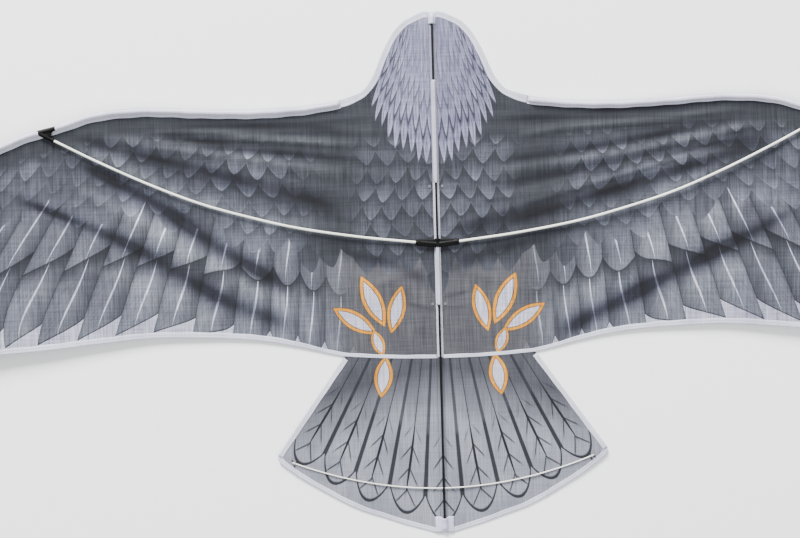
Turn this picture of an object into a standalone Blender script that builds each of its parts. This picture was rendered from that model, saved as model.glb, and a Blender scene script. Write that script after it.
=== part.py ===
"""Bird-shaped kite that scares birds off crops, lying flat with its frame on top.

X runs across the wings, Y from the tail to the head and Z up, in metres. The origin is
on the ground under the middle of the kite's length.
"""

import math

import bmesh
import bpy
from mathutils import Matrix, Vector

# Outline
kite_length = 0.600
half_span = 0.675
head_half_width = 0.092
head_length = 0.0944  # from the nose down to the shoulder
leading_drop = 0.2529  # from the shoulder down to the wing tip
trailing_rise = 0.0292  # from the tail seam up to the wing's shallowest place
nose_to_tail_seam = 0.3943
tail_half_width = 0.189
tail_fan_depth = 0.0892  # from the tail's tip up to its outer corners
tail_corner_blunt = 0.005
tip_rise = 0.024  # how far the wing tips stand above the ground

# Share of the head's half width, of its length, and of the trailing edge's rise
head_outline_shares = (
    (0.0, 0.0, 0.0),
    (0.125, 0.005, 0.003),
    (0.25, 0.06, 0.01),
    (0.375, 0.13, 0.014),
    (0.5, 0.267, 0.02),
    (0.625, 0.488, 0.034),
    (0.75, 0.774, 0.051),
    (0.875, 0.94, 0.068),
    (1.0, 1.0, 0.096),
)
# Share of the way from shoulder to tip, of the leading drop, and of the trailing rise
wing_outline_shares = (
    (0.029, 0.02, 0.137),
    (0.065, 0.033, 0.26),
    (0.118, 0.045, 0.51),
    (0.178, 0.05, 0.73),
    (0.237, 0.05, 0.88),
    (0.305, 0.044, 0.962),
    (0.355, 0.036, 0.993),
    (0.405, 0.032, 1.0),
    (0.454, 0.035, 0.935),
    (0.493, 0.042, 0.856),
    (0.533, 0.061, 0.788),
    (0.58, 0.097, 0.695),
    (0.631, 0.126, 0.616),
    (0.671, 0.159, 0.565),
    (0.71, 0.2, 0.503),
    (0.768, 0.276, 0.274),
    (0.828, 0.384, 0.0),
    (0.888, 0.518, -0.277),
    (0.937, 0.667, -0.366),
    (0.973, 0.823, -0.127),
    (0.992, 0.933, 0.42),
    (1.0, 1.0, 1.07),
)
# The leading edge is straight between these two points, where the wing fitting sits
fitting_inner_point = 11
fitting_outer_point = 12
# Share of the tail's half width, and of its fan's depth above the tail's tip
tail_bottom_shares = (
    (0.0, 0.0),
    (0.06, 0.026),
    (0.12, 0.065),
    (0.245, 0.142),
    (0.365, 0.232),
    (0.49, 0.323),
    (0.61, 0.445),
    (0.73, 0.593),
    (0.85, 0.748),
    (0.91, 0.839),
    (0.97, 0.935),
    (1.0, 1.0),
)
tail_rows = 4
# Rows of points across a wing's cloth: share of the way from the trailing edge to the
# leading one at the neck, the same at the wing fitting, and 1 where a fold has its ridge
wing_row_shares = (
    (0.0, 0.0, 0.0),
    (0.16, 0.17, 0.0),
    (0.32, 0.34, 0.0),
    (0.43, 0.5, 0.0),
    (0.5, 0.62, 1.0),
    (0.57, 0.68, 0.0),
    (0.64, 0.74, 1.0),
    (0.71, 0.79, 0.0),
    (0.78, 0.84, 1.0),
    (0.84, 0.88, 0.0),
    (0.9, 0.92, 1.0),
    (0.955, 0.96, 0.0),
    (1.0, 1.0, 0.0),
)
fold_height = 0.0024
fold_from_spine = 0.050
fold_from_fitting = 0.030

# Cloth and the clearance between neighbours
cloth = 0.0005
gap = 0.0003
hinge_gap = 0.0003  # beside the tape, where each wing turns

# Hems
head_hem_width = 0.0062
trailing_hem_width = 0.0058
tail_hem_width = 0.0048
hem_from_tape = 0.0012
tail_hem_from_pocket = 0.0018

# Frame rods
spine_radius = 0.00125
spine_height = 0.00375  # of its axis above the ground
spine_end_margin = 0.0025
spreader_radius = 0.0015
leading_rod_radius = 0.0015
leading_rod_inset = 0.0036  # of its axis from the sail's edge
leading_rod_height = 0.0034  # of its axis above the sail
leading_rod_margin = 0.004
tail_rod_radius = 0.0007
tail_rod_from_corner = 0.0155  # each end, in from the tail's corner
tail_rod_below_corner = 0.0027
tail_rod_bow = 0.0338
tail_rod_points = 17
rod_sides_resolution = 2

# Tape down the spine, its two closed stretches and the rod pockets at both ends
tape_width = 0.0075
sleeve_width = 0.0065
sleeve_wall = 0.0005
upper_sleeve_from_nose = 0.0784
upper_sleeve_length = 0.1183
lower_sleeve_from_nose = 0.2713
lower_sleeve_length = 0.0655
nose_pocket_length = 0.0125
tail_pocket_length = 0.018
tail_pocket_width = 0.0184
pocket_end_wall = 0.001
arch_steps = 6

# Sleeve that holds the leading-edge rod
leading_sleeve_width = 0.0092
leading_sleeve_wall = 0.0005
sleeve_from_head_hem = 0.0015
sleeve_bore_sides = 8

# Soft fitting where the spreaders meet the spine
nose_to_spreader = 0.2658
centre_arm_length = 0.025
centre_arm_rise = 0.0028
centre_fitting_width = 0.0105
centre_fitting_thickness = 0.006
centre_fitting_round = 0.0035
centre_fitting_edge = 0.0009
spreader_inner_x = 0.0043
socket_end_wall = 0.0003

# Soft V-shaped fitting on the leading-edge rod
fitting_tip_share = 0.18  # of the straight stretch, from its outer end
fitting_arm_length = 0.020
fitting_radius = 0.003
socket_end_from_tip = 0.0075
spreader_end_from_tip = 0.0079
fitting_sides = 12
cut_overrun = 0.001

# Share of the way from the spine to the fitting's tip, across and along the kite
spreader_route_shares = (
    (0.2, 0.078),
    (0.35, 0.152),
    (0.475, 0.25),
    (0.6, 0.372),
    (0.725, 0.538),
    (0.85, 0.742),
)
route_steps = 3

# Bridle eyelets either side of the tape
eyelet_radius = 0.0016
eyelet_hole_radius = 0.0006
eyelet_thickness = 0.0005
eyelet_sides = 12
upper_eyelet_from_nose = 0.2005
lower_eyelet_from_nose = 0.3359
eyelet_from_tape = 0.0038

# Elastic ties over the ends of the tail's rod
tie_radius = 0.0005
tie_from_rod_end = 0.003
tie_steps = 8

# Places worked out from the sizes above
nose_y = kite_length / 2
tail_tip_y = -kite_length / 2
shoulder_y = nose_y - head_length
seam_y = nose_y - nose_to_tail_seam
spreader_y = nose_y - nose_to_spreader
tape_edge = tape_width / 2
sail_inner_x = tape_edge + hinge_gap
hinge_x = tape_edge + hinge_gap / 2
hinge_z = cloth / 2
hem_inner_x = tape_edge + hem_from_tape
tail_corner_y = tail_tip_y + tail_fan_depth


def material(name, colour, roughness, metallic=0.0):
    """A plain finish of one colour."""
    made = bpy.data.materials.new(name)
    made.use_nodes = True
    shader = made.node_tree.nodes["Principled BSDF"]
    shader.inputs["Base Color"].default_value = (*colour, 1.0)
    shader.inputs["Roughness"].default_value = roughness
    shader.inputs["Metallic"].default_value = metallic
    made.diffuse_color = (*colour, 1.0)
    return made


def finishes():
    """Every finish of the kite by name."""
    return {
        "printed_cloth": material("printed_cloth", (0.10, 0.11, 0.14), 0.7),
        "tail_cloth": material("tail_cloth", (0.34, 0.34, 0.39), 0.7),
        "hem_tape": material("hem_tape", (0.72, 0.71, 0.80), 0.75),
        "black_rod": material("black_rod", (0.015, 0.015, 0.018), 0.35),
        "white_rod": material("white_rod", (0.80, 0.81, 0.78), 0.3),
        "soft_moulding": material("soft_moulding", (0.012, 0.012, 0.014), 0.5),
        "elastic": material("elastic", (0.02, 0.02, 0.022), 0.8),
        "eyelet": material("eyelet", (0.75, 0.75, 0.78), 0.4),
    }


def clear_scene():
    for old in list(bpy.data.objects):
        bpy.data.objects.remove(old, do_unlink=True)


def settle(made, finish, parent):
    """Gives an object its finish and hangs it from a parent without moving it."""
    made.data.materials.append(finish)
    if parent:
        made.parent = parent
        made.location = -parent.matrix_world.translation
    return made


def add_mesh(name, shape, finish, parent=None, smooth_angle=None):
    """An object from a bmesh whose points are in the kite's own frame."""
    bmesh.ops.recalc_face_normals(shape, faces=shape.faces)
    data = bpy.data.meshes.new(name)
    shape.to_mesh(data)
    shape.free()
    if smooth_angle:
        data.shade_smooth()
        data.set_sharp_from_angle(angle=smooth_angle)
    made = bpy.data.objects.new(name, data)
    bpy.context.scene.collection.objects.link(made)
    return settle(made, finish, parent)


def add_empty(name, place, parent=None):
    """A marker on a joint's axis."""
    made = bpy.data.objects.new(name, None)
    bpy.context.scene.collection.objects.link(made)
    made.location = place
    if parent:
        made.parent = parent
        made.location = Vector(place) - parent.matrix_world.translation
    bpy.context.view_layer.update()
    return made


def add_sheet(name, rows, thickness, finish, parent=None):
    """A closed sheet over rows of points on its underside, thickened straight up."""
    shape = bmesh.new()
    grid = [[shape.verts.new(point) for point in row] for row in rows]
    faces = []
    for near, far in zip(grid, grid[1:]):
        for i in range(len(near) - 1):
            faces.append(shape.faces.new((near[i], far[i], far[i + 1], near[i + 1])))
    grown = bmesh.ops.extrude_face_region(shape, geom=faces)["geom"]
    raised = [part for part in grown if isinstance(part, bmesh.types.BMVert)]
    bmesh.ops.translate(shape, verts=raised, vec=(0.0, 0.0, thickness))
    return add_mesh(name, shape, finish, parent)


def add_rod(name, points, radius, finish, parent=None):
    """A round rod along a line of points, closed at both ends."""
    data = bpy.data.curves.new(name, "CURVE")
    data.dimensions = "3D"
    data.bevel_depth = radius
    data.bevel_resolution = rod_sides_resolution
    data.use_fill_caps = True
    line = data.splines.new("POLY")
    line.points.add(len(points) - 1)
    for target, point in zip(line.points, points):
        target.co = (*point, 1.0)
    line.use_smooth = True
    made = bpy.data.objects.new(name, data)
    bpy.context.scene.collection.objects.link(made)
    return settle(made, finish, parent)


def prism(outline, y_from, y_to):
    """A closed prism of an outline in X and Z, drawn out along Y."""
    shape = bmesh.new()
    face = shape.faces.new([shape.verts.new((x, y_from, z)) for x, z in outline])
    grown = bmesh.ops.extrude_face_region(shape, geom=[face])["geom"]
    moved = [part for part in grown if isinstance(part, bmesh.types.BMVert)]
    bmesh.ops.translate(shape, verts=moved, vec=(0.0, y_to - y_from, 0.0))
    return shape


def cylinder(start, direction, length, radius, sides):
    """A closed round bar from a start point along a direction."""
    shape = bmesh.new()
    turn = direction.to_track_quat("Z", "Y").to_matrix().to_4x4()
    middle = Matrix.Translation(start + direction * (length / 2))
    bmesh.ops.create_cone(
        shape, cap_ends=True, segments=sides, radius1=radius, radius2=radius,
        depth=length, matrix=middle @ turn,
    )
    return shape


def combine(target, shape, operation):
    """Adds or cuts a bmesh with a Boolean whose tool stays hidden."""
    bmesh.ops.recalc_face_normals(shape, faces=shape.faces)
    data = bpy.data.meshes.new(target.name + "_tool")
    shape.to_mesh(data)
    shape.free()
    tool = bpy.data.objects.new(target.name + "_tool", data)
    bpy.context.scene.collection.objects.link(tool)
    tool.hide_render = True
    tool.display_type = "WIRE"
    step = target.modifiers.new(operation.lower(), "BOOLEAN")
    step.operation = operation
    step.object = tool


def bore_radius(rod_radius, sides):
    """The corner radius of a many-sided bore that clears a round rod all round."""
    return (rod_radius + gap) / math.cos(math.pi / sides)


def sail_underside(x):
    """The sail's height above the ground, which grows towards the wing tips."""
    return tip_rise * (x / half_span) ** 2


def on_sail(point, height):
    """A point over the sail's top face, from its place in plan."""
    return Vector((point[0], point[1], sail_underside(point[0]) + cloth + height))


def mirrored(points, side):
    """Points of the right wing, or of the left one where side is -1."""
    return [Vector((side * p.x, p.y, p.z)) for p in points]


def outline_lines():
    """The right half's leading and trailing edges, at the same stations across."""
    leading, trailing = [], []
    for across, down, rise in head_outline_shares:
        x = max(across * head_half_width, sail_inner_x)
        leading.append(Vector((x, nose_y - down * head_length)))
        trailing.append(Vector((x, seam_y + rise * trailing_rise)))
    reach = half_span - head_half_width
    for out, drop, rise in wing_outline_shares:
        x = head_half_width + out * reach
        leading.append(Vector((x, shoulder_y - drop * leading_drop)))
        trailing.append(Vector((x, seam_y + rise * trailing_rise)))
    return leading, trailing


def offset_steps(path):
    """At each point, the step to the right of travel that is one unit wide."""
    steps = []
    for i, point in enumerate(path):
        before = path[i - 1] if i else None
        after = path[i + 1] if i + 1 < len(path) else None
        ways = []
        if before is not None:
            ways.append((point - before).normalized())
        if after is not None:
            ways.append((after - point).normalized())
        normals = [Vector((way.y, -way.x)) for way in ways]
        middle = sum(normals, Vector((0.0, 0.0))).normalized()
        steps.append(middle / middle.dot(normals[0]))
    return steps


def offset_path(path, distance):
    """A path moved sideways, to the right of travel where distance is positive."""
    return [p + step * distance for p, step in zip(path, offset_steps(path))]


def line_value(table, x):
    """The straight-line value at x in a table of (x, value) pairs."""
    for (x0, v0), (x1, v1) in zip(table, table[1:]):
        if x <= x1:
            return v0 + (v1 - v0) * (x - x0) / (x1 - x0)
    return table[-1][1]


def smooth_line(points, steps):
    """A smooth line through points, with even steps between each two."""
    ends = [points[0] * 2 - points[1], *points, points[-1] * 2 - points[-2]]
    line = []
    for p0, p1, p2, p3 in zip(ends, ends[1:], ends[2:], ends[3:]):
        for k in range(steps):
            t = k / steps
            line.append(
                (p1 * 2 + (p2 - p0) * t + (p0 * 2 - p1 * 5 + p2 * 4 - p3) * t**2
                 + (p1 * 3 - p0 - p2 * 3 + p3) * t**3) / 2
            )
    line.append(points[-1].copy())
    return line


def fold_swell(x, tip_x):
    """How far the folds have grown at x: nothing at the neck and fitting, 1 midway."""
    end = tip_x - fold_from_fitting
    if not fold_from_spine < x < end:
        return 0.0
    return math.sin(math.pi * (x - fold_from_spine) / (end - fold_from_spine))


def wing_sail(name, side, edges, finish, parent):
    """The printed cloth of one wing, with its half of the head and its tension folds."""
    tip_x = fitting_lines(edges[0])[0].x
    rows = []
    for top, bottom in zip(*edges):
        x = top.x
        outward = min(max((x - head_half_width) / (tip_x - head_half_width), 0.0), 1.0)
        row = []
        for at_neck, at_fitting, ridge in wing_row_shares:
            point = bottom.lerp(top, at_neck + (at_fitting - at_neck) * outward)
            raised = fold_height * ridge * fold_swell(x, tip_x)
            row.append(Vector((side * x, point.y, sail_underside(x) + raised)))
        rows.append(row)
    return add_sheet(name, rows, cloth, finish, parent)


def hem(name, side, path, width, finish, parent):
    """A flat folded hem lying on the sail along a path, width to the right of travel."""
    inner = offset_path(path, width)
    rows = [
        mirrored([on_sail(outer, gap), on_sail(inside, gap)], side)
        for outer, inside in zip(path, inner)
    ]
    return add_sheet(name, rows, cloth, finish, parent)


def leading_sleeve_ring(edge, step):
    """One section of the leading sleeve: its outer points, then its bore's."""
    axis = edge + step * leading_rod_inset
    axis_z = on_sail(axis, leading_rod_height).z
    skin = leading_rod_radius + gap + leading_sleeve_wall
    upper = (
        (leading_rod_inset + skin, skin / 2),
        (leading_rod_inset + skin / 2, skin),
        (leading_rod_inset - skin / 2, skin),
        (leading_rod_inset - skin, skin / 2),
    )
    inner_edge = edge + step * leading_sleeve_width
    outer = [on_sail(inner_edge, gap), on_sail(inner_edge, gap + leading_sleeve_wall)]
    for across, up in upper:
        place = edge + step * across
        outer.append(Vector((place.x, place.y, axis_z + up)))
    outer += [on_sail(edge, gap + leading_sleeve_wall), on_sail(edge, gap)]
    bore = []
    radius = bore_radius(leading_rod_radius, sleeve_bore_sides)
    for k in range(sleeve_bore_sides):
        angle = math.tau * (k - 1.5) / sleeve_bore_sides
        place = axis + step * (radius * math.cos(angle))
        bore.append(Vector((place.x, place.y, axis_z + radius * math.sin(angle))))
    return outer, bore


def leading_sleeve(name, side, path, finish, parent):
    """A closed fabric tube along the leading edge, bored for its rod."""
    shape = bmesh.new()
    rings = []
    for edge, step in zip(path, offset_steps(path)):
        outer, bore = leading_sleeve_ring(edge, step)
        rings.append(
            ([shape.verts.new(p) for p in mirrored(outer, side)],
             [shape.verts.new(p) for p in mirrored(bore, side)])
        )
    for near, far in zip(rings, rings[1:]):
        for a, b in zip(near, far):
            for k in range(sleeve_bore_sides):
                shape.faces.new((a[k - 1], a[k], b[k], b[k - 1]))
    for outer, bore in (rings[0], rings[-1]):
        for k in range(sleeve_bore_sides):
            shape.faces.new((outer[k - 1], outer[k], bore[k], bore[k - 1]))
    return add_mesh(name, shape, finish, parent)


def leading_axis(leading):
    """The leading-edge rod's axis at every station of the leading edge."""
    return [on_sail(p, leading_rod_height) for p in offset_path(leading, leading_rod_inset)]


def arch_outline(half_width, opened):
    """A sleeve's section over the spine: feet on the tape and an arch over the rod."""
    foot = cloth + gap
    radius = spine_radius + gap + sleeve_wall
    points = [(half_width, foot), (half_width, foot + sleeve_wall)]
    for k in range(arch_steps + 1):
        angle = math.pi * k / arch_steps
        points.append((radius * math.cos(angle), spine_height + radius * math.sin(angle)))
    points += [(-half_width, foot + sleeve_wall), (-half_width, foot)]
    if opened:
        points += slot_outline(foot)
    return points


def slot_outline(bottom):
    """The hollow of a sleeve, round over the rod and open below it."""
    radius = bore_radius(spine_radius, 2 * arch_steps)
    points = [(-radius, bottom)]
    for k in range(arch_steps + 1):
        angle = math.pi * (arch_steps - k) / arch_steps
        points.append((radius * math.cos(angle), spine_height + radius * math.sin(angle)))
    points.append((radius, bottom))
    return points


def spine_sleeve(name, from_nose, length, finish, parent=None):
    """A stretch where the tape is sewn closed round the spine."""
    top = nose_y - from_nose
    shape = prism(arch_outline(sleeve_width / 2, True), top, top - length)
    return add_mesh(name, shape, finish, parent)


def rod_pocket(name, half_width, mouth_y, end_y, finish):
    """A pocket over one end of the spine, closed at the kite's edge."""
    pocket = add_mesh(name, prism(arch_outline(half_width, False), mouth_y, end_y), finish)
    outward = math.copysign(1.0, end_y - mouth_y)
    stop = end_y - outward * pocket_end_wall
    slot = prism(slot_outline(cloth), mouth_y - outward * cut_overrun, stop)
    combine(pocket, slot, "DIFFERENCE")
    return pocket


def spine_group(finish):
    """The spine rod with the tape, sleeves and pockets that hold it."""
    ends = [Vector((0.0, y, spine_height)) for y in
            (nose_y - spine_end_margin, tail_tip_y + spine_end_margin)]
    add_rod("spine_rod", ends, spine_radius, finish["black_rod"])
    tape = [[Vector((x, y, 0.0)) for x in (-tape_edge, tape_edge)] for y in (seam_y, nose_y)]
    add_sheet("spine_tape", tape, cloth, finish["hem_tape"])
    spine_sleeve("spine_sleeve_upper", upper_sleeve_from_nose, upper_sleeve_length,
                 finish["hem_tape"])
    spine_sleeve("spine_sleeve_lower", lower_sleeve_from_nose, lower_sleeve_length,
                 finish["hem_tape"])
    nose_end = nose_y - (spine_end_margin - gap - pocket_end_wall)
    tail_end = tail_tip_y + (spine_end_margin - gap - pocket_end_wall)
    rod_pocket("nose_pocket", tape_edge, nose_end - nose_pocket_length, nose_end,
               finish["hem_tape"])
    rod_pocket("tail_pocket", tail_pocket_width / 2, tail_end + tail_pocket_length,
               tail_end, finish["hem_tape"])


def centre_fitting(finish):
    """The soft moulding that the spine runs through and the spreaders plug into."""
    half = centre_fitting_width / 2
    bottom = cloth + gap
    plan = []
    for side in (1, -1):
        ends = [(side * centre_arm_length, centre_arm_rise - side * half),
                (side * centre_arm_length, centre_arm_rise + side * half)]
        plan += [(0.0, -side * half), *ends]
    shape = bmesh.new()
    base = shape.faces.new([shape.verts.new((x, spreader_y + y, bottom)) for x, y in plan])
    grown = bmesh.ops.extrude_face_region(shape, geom=[base])["geom"]
    raised = [part for part in grown if isinstance(part, bmesh.types.BMVert)]
    bmesh.ops.translate(shape, verts=raised, vec=(0.0, 0.0, centre_fitting_thickness))
    upright = [
        edge for edge in shape.edges
        if edge.verts[0].co.xy == edge.verts[1].co.xy and abs(edge.verts[0].co.x) > half
    ]
    bmesh.ops.bevel(shape, geom=upright, offset=centre_fitting_round, segments=3,
                    profile=0.5, affect="EDGES")
    rims = [
        edge for edge in shape.edges
        if edge.verts[0].co.z == edge.verts[1].co.z and edge.is_manifold
    ]
    bmesh.ops.bevel(shape, geom=rims, offset=centre_fitting_edge, segments=1,
                    profile=0.5, affect="EDGES")
    made = add_mesh("centre_fitting", shape, finish["soft_moulding"])
    through = cylinder(
        Vector((0.0, spreader_y - centre_fitting_width, spine_height)), Vector((0.0, 1.0, 0.0)),
        2 * centre_fitting_width, bore_radius(spine_radius, fitting_sides), fitting_sides,
    )
    combine(made, through, "DIFFERENCE")
    for side in (1, -1):
        inner, mouth = [mirrored([p], side)[0] for p in centre_socket()]
        way = (mouth - inner).normalized()
        start = inner - way * socket_end_wall
        length = (mouth - start).length + cut_overrun
        combine(made, cylinder(start, way, length, bore_radius(spreader_radius, fitting_sides),
                               fitting_sides), "DIFFERENCE")
    return made


def centre_socket():
    """The right spreader's inner end and the mouth of its socket in the centre fitting."""
    slope = centre_arm_rise / centre_arm_length
    inner = Vector((spreader_inner_x, spreader_y + slope * spreader_inner_x, spine_height))
    mouth = Vector((centre_arm_length, spreader_y + centre_arm_rise, spine_height))
    return inner, mouth


def fitting_lines(leading):
    """The wing fitting's tip, the way along its upper arm and the way along its lower one."""
    axis = leading_axis(leading)
    station = len(head_outline_shares)
    outer = axis[station + fitting_outer_point]
    inner = axis[station + fitting_inner_point]
    tip = outer.lerp(inner, fitting_tip_share)
    route = spreader_route(tip)
    return tip, (inner - outer).normalized(), (route[-1] - tip).normalized()


def spreader_route(tip):
    """The right spreader's bowed line between its two sockets' mouths."""
    mouth = centre_socket()[1]
    start = Vector((0.0, spreader_y))
    points = [mouth]
    for across, along in spreader_route_shares:
        x = start.x + across * (tip.x - start.x)
        y = start.y + along * (tip.y - start.y)
        z = mouth.z + (tip.z - mouth.z) * (x - mouth.x) / (tip.x - mouth.x)
        points.append(Vector((x, y, z)))
    last = points[-1]
    points.append(tip + (last - tip).normalized() * fitting_arm_length)
    return smooth_line(points, route_steps)


def wing_fitting(name, side, leading, finish, parent):
    """The V-shaped moulding that swivels on the leading-edge rod and holds a spreader."""
    tip, upper, lower = [mirrored([v], side)[0] for v in fitting_lines(leading)]
    made = add_mesh(name, cylinder(tip, upper, fitting_arm_length, fitting_radius,
                                   fitting_sides), finish, parent, math.radians(40))
    tools = (
        ("UNION", tip + lower * fitting_radius, lower, fitting_arm_length - fitting_radius,
         fitting_radius),
        ("DIFFERENCE", tip - upper * cut_overrun, upper,
         fitting_arm_length + 2 * cut_overrun, bore_radius(leading_rod_radius, fitting_sides)),
        ("DIFFERENCE", tip + lower * socket_end_from_tip, lower,
         fitting_arm_length, bore_radius(spreader_radius, fitting_sides)),
    )
    for operation, start, way, length, radius in tools:
        combine(made, cylinder(start, way, length, radius, fitting_sides), operation)
    return made


def eyelet(name, side, from_nose, finish, parent):
    """A small washer round a bridle hole."""
    centre = Vector((side * (tape_edge + eyelet_from_tape), nose_y - from_nose))
    bottom = on_sail(centre, gap).z
    shape = bmesh.new()
    rings = []
    for radius in (eyelet_radius, eyelet_hole_radius):
        ring = []
        for k in range(eyelet_sides):
            angle = math.tau * k / eyelet_sides
            ring.append(shape.verts.new((centre.x + radius * math.cos(angle),
                                         centre.y + radius * math.sin(angle), bottom)))
        rings.append(ring)
    outer, hole = rings
    faces = [shape.faces.new((outer[k - 1], outer[k], hole[k], hole[k - 1]))
             for k in range(eyelet_sides)]
    grown = bmesh.ops.extrude_face_region(shape, geom=faces)["geom"]
    raised = [part for part in grown if isinstance(part, bmesh.types.BMVert)]
    bmesh.ops.translate(shape, verts=raised, vec=(0.0, 0.0, eyelet_thickness))
    return add_mesh(name, shape, finish, parent)


def wing_group(word, side, finish):
    """One wing: its cloth, hems, leading-edge rod, fitting and spreader."""
    leading, trailing = outline_lines()
    hinge = add_empty(word + "_wing_hinge", (side * hinge_x, 0.0, hinge_z))
    wing_sail(word + "_wing_sail", side, (leading, trailing), finish["printed_cloth"], hinge)
    head_end = len(head_outline_shares)
    from_tape = [Vector((hem_inner_x, p.y)) if p.x < hem_inner_x else p for p in leading]
    hem(word + "_head_hem", side, from_tape[: head_end + 1], head_hem_width,
        finish["hem_tape"], hinge)
    from_tape = [Vector((hem_inner_x, p.y)) if p.x < hem_inner_x else p for p in trailing]
    hem(word + "_trailing_hem", side, from_tape, -trailing_hem_width,
        finish["hem_tape"], hinge)
    tip, _, lower = fitting_lines(leading)
    sleeves_and_rod(word, side, leading, finish, hinge)
    for level, from_nose in (("upper", upper_eyelet_from_nose), ("lower", lower_eyelet_from_nose)):
        eyelet(f"{word}_{level}_bridle_eyelet", side, from_nose, finish["eyelet"], hinge)
    swivel = add_empty(word + "_spreader_swivel", mirrored([tip], side)[0], hinge)
    wing_fitting(word + "_wing_fitting", side, leading, finish["soft_moulding"], swivel)
    line = [centre_socket()[0], *spreader_route(tip), tip + lower * spreader_end_from_tip]
    add_rod(word + "_spreader_rod", mirrored(line, side), spreader_radius,
            finish["white_rod"], swivel)


def sleeves_and_rod(word, side, leading, finish, hinge):
    """The leading edge's two sleeves, cut out round the fitting, and the rod in them."""
    first = len(head_outline_shares)
    near = first + fitting_inner_point
    far = first + fitting_outer_point
    outward = (leading[first + 1] - leading[first]).normalized()
    root_end = leading[first] + outward * sleeve_from_head_hem
    straight = (leading[near] - leading[far]).normalized()
    at_fitting = leading[far].lerp(leading[near], fitting_tip_share)
    inner_cut = at_fitting + straight * (fitting_arm_length + gap)
    outer_cut = at_fitting - straight * gap
    inner_path = [root_end, *leading[first + 1 : near + 1], inner_cut]
    outer_path = [outer_cut, *leading[far:]]
    leading_sleeve(word + "_leading_sleeve_inner", side, inner_path, finish["hem_tape"], hinge)
    leading_sleeve(word + "_leading_sleeve_outer", side, outer_path, finish["hem_tape"], hinge)
    axis = leading_axis(leading)[first:]
    axis[0] = axis[0] + (axis[1] - axis[0]).normalized() * leading_rod_margin
    axis[-1] = axis[-1] + (axis[-2] - axis[-1]).normalized() * leading_rod_margin
    add_rod(word + "_leading_edge_rod", mirrored(axis, side), leading_rod_radius,
            finish["white_rod"], hinge)


def tail_lines():
    """The right half of the tail: stations across, then its top and bottom edges there."""
    trailing = outline_lines()[1]
    root = len(head_outline_shares)
    inner = [Vector((0.0, trailing[0].y)), *trailing[: root + 1]]
    corner = Vector((tail_half_width, tail_corner_y + tail_corner_blunt))
    top_line = [(p.x, p.y - gap) for p in inner] + [(corner.x, corner.y)]
    bottom_line = [(across * tail_half_width, tail_tip_y + up * tail_fan_depth)
                   for across, up in tail_bottom_shares]
    outer = [x for x, _ in bottom_line if x > inner[-1].x]
    stations = [p.x for p in inner] + outer
    return [(x, line_value(top_line, x), line_value(bottom_line, x)) for x in stations]


def tail_group(finish):
    """The fan-shaped tail panel, its hems, its thin rod and the elastic ties."""
    half = tail_lines()
    both = [(-x, top, bottom) for x, top, bottom in reversed(half[1:])] + half
    rows = []
    for x, top, bottom in both:
        ys = [bottom + (top - bottom) * k / tail_rows for k in range(tail_rows + 1)]
        rows.append([Vector((x, y, sail_underside(x))) for y in ys])
    add_sheet("tail_panel", rows, cloth, finish["tail_cloth"])
    tail_hems(half, finish)
    tail_rod(finish)


def tail_hems(half, finish):
    """A hem down each side of the tail and along its bottom to the pocket."""
    root = len(head_outline_shares) + 1
    side_top = Vector((half[root][0], half[root][1]))
    corner = Vector((half[-1][0], half[-1][1]))
    stop = tail_pocket_width / 2 + tail_hem_from_pocket
    bottom = [Vector((x, low)) for x, _, low in reversed(half) if x > stop]
    end = Vector((stop, line_value([(x, low) for x, _, low in half], stop)))
    path = [side_top, corner, *bottom, end]
    for word, side in (("right", 1), ("left", -1)):
        hem(word + "_tail_hem", side, path, tail_hem_width, finish["hem_tape"], None)


def tail_rod(finish):
    """The tail's bowed rod, which passes under the spine, and a tie over each end."""
    height = gap + tail_rod_radius
    end_x = tail_half_width - tail_rod_from_corner
    end_y = tail_corner_y - tail_rod_below_corner
    points = []
    for k in range(tail_rod_points):
        across = 2 * k / (tail_rod_points - 1) - 1
        y = end_y - tail_rod_bow * (1 - across**2)
        points.append(on_sail((across * end_x, y), height))
    add_rod("tail_spreader_rod", points, tail_rod_radius, finish["white_rod"])
    arch = tail_rod_radius + gap + tie_radius
    for word, end, nxt in (("left", points[0], points[1]), ("right", points[-1], points[-2])):
        way = (nxt - end).normalized()
        centre = end + way * tie_from_rod_end
        sideways = Vector((-way.y, way.x, 0.0)).normalized()
        loop = [centre + sideways * arch - Vector((0.0, 0.0, tail_rod_radius))]
        for k in range(tie_steps + 1):
            angle = math.pi * k / tie_steps
            loop.append(centre + sideways * (arch * math.cos(angle))
                        + Vector((0.0, 0.0, arch * math.sin(angle))))
        loop.append(centre - sideways * arch - Vector((0.0, 0.0, tail_rod_radius)))
        add_rod(word + "_tail_tie", loop, tie_radius, finish["elastic"])


def build():
    clear_scene()
    finish = finishes()
    spine_group(finish)
    centre_fitting(finish)
    for word, side in (("left", -1), ("right", 1)):
        wing_group(word, side, finish)
    tail_group(finish)


build()
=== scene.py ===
"""Bird-shaped kite that scares birds off crops: its printed cloth, hems, frame and fittings.

Lengths are in metres. X runs across the wings, Y from the tail to the head and Z up. The
kite lies on its printed belly with the frame on top.
"""

import logging
import math
from collections.abc import Callable, Sequence
from dataclasses import dataclass, field
from enum import Enum
from functools import partial

import bmesh
import bpy
import numpy as np
from mathutils import Matrix, Vector, noise


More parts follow.
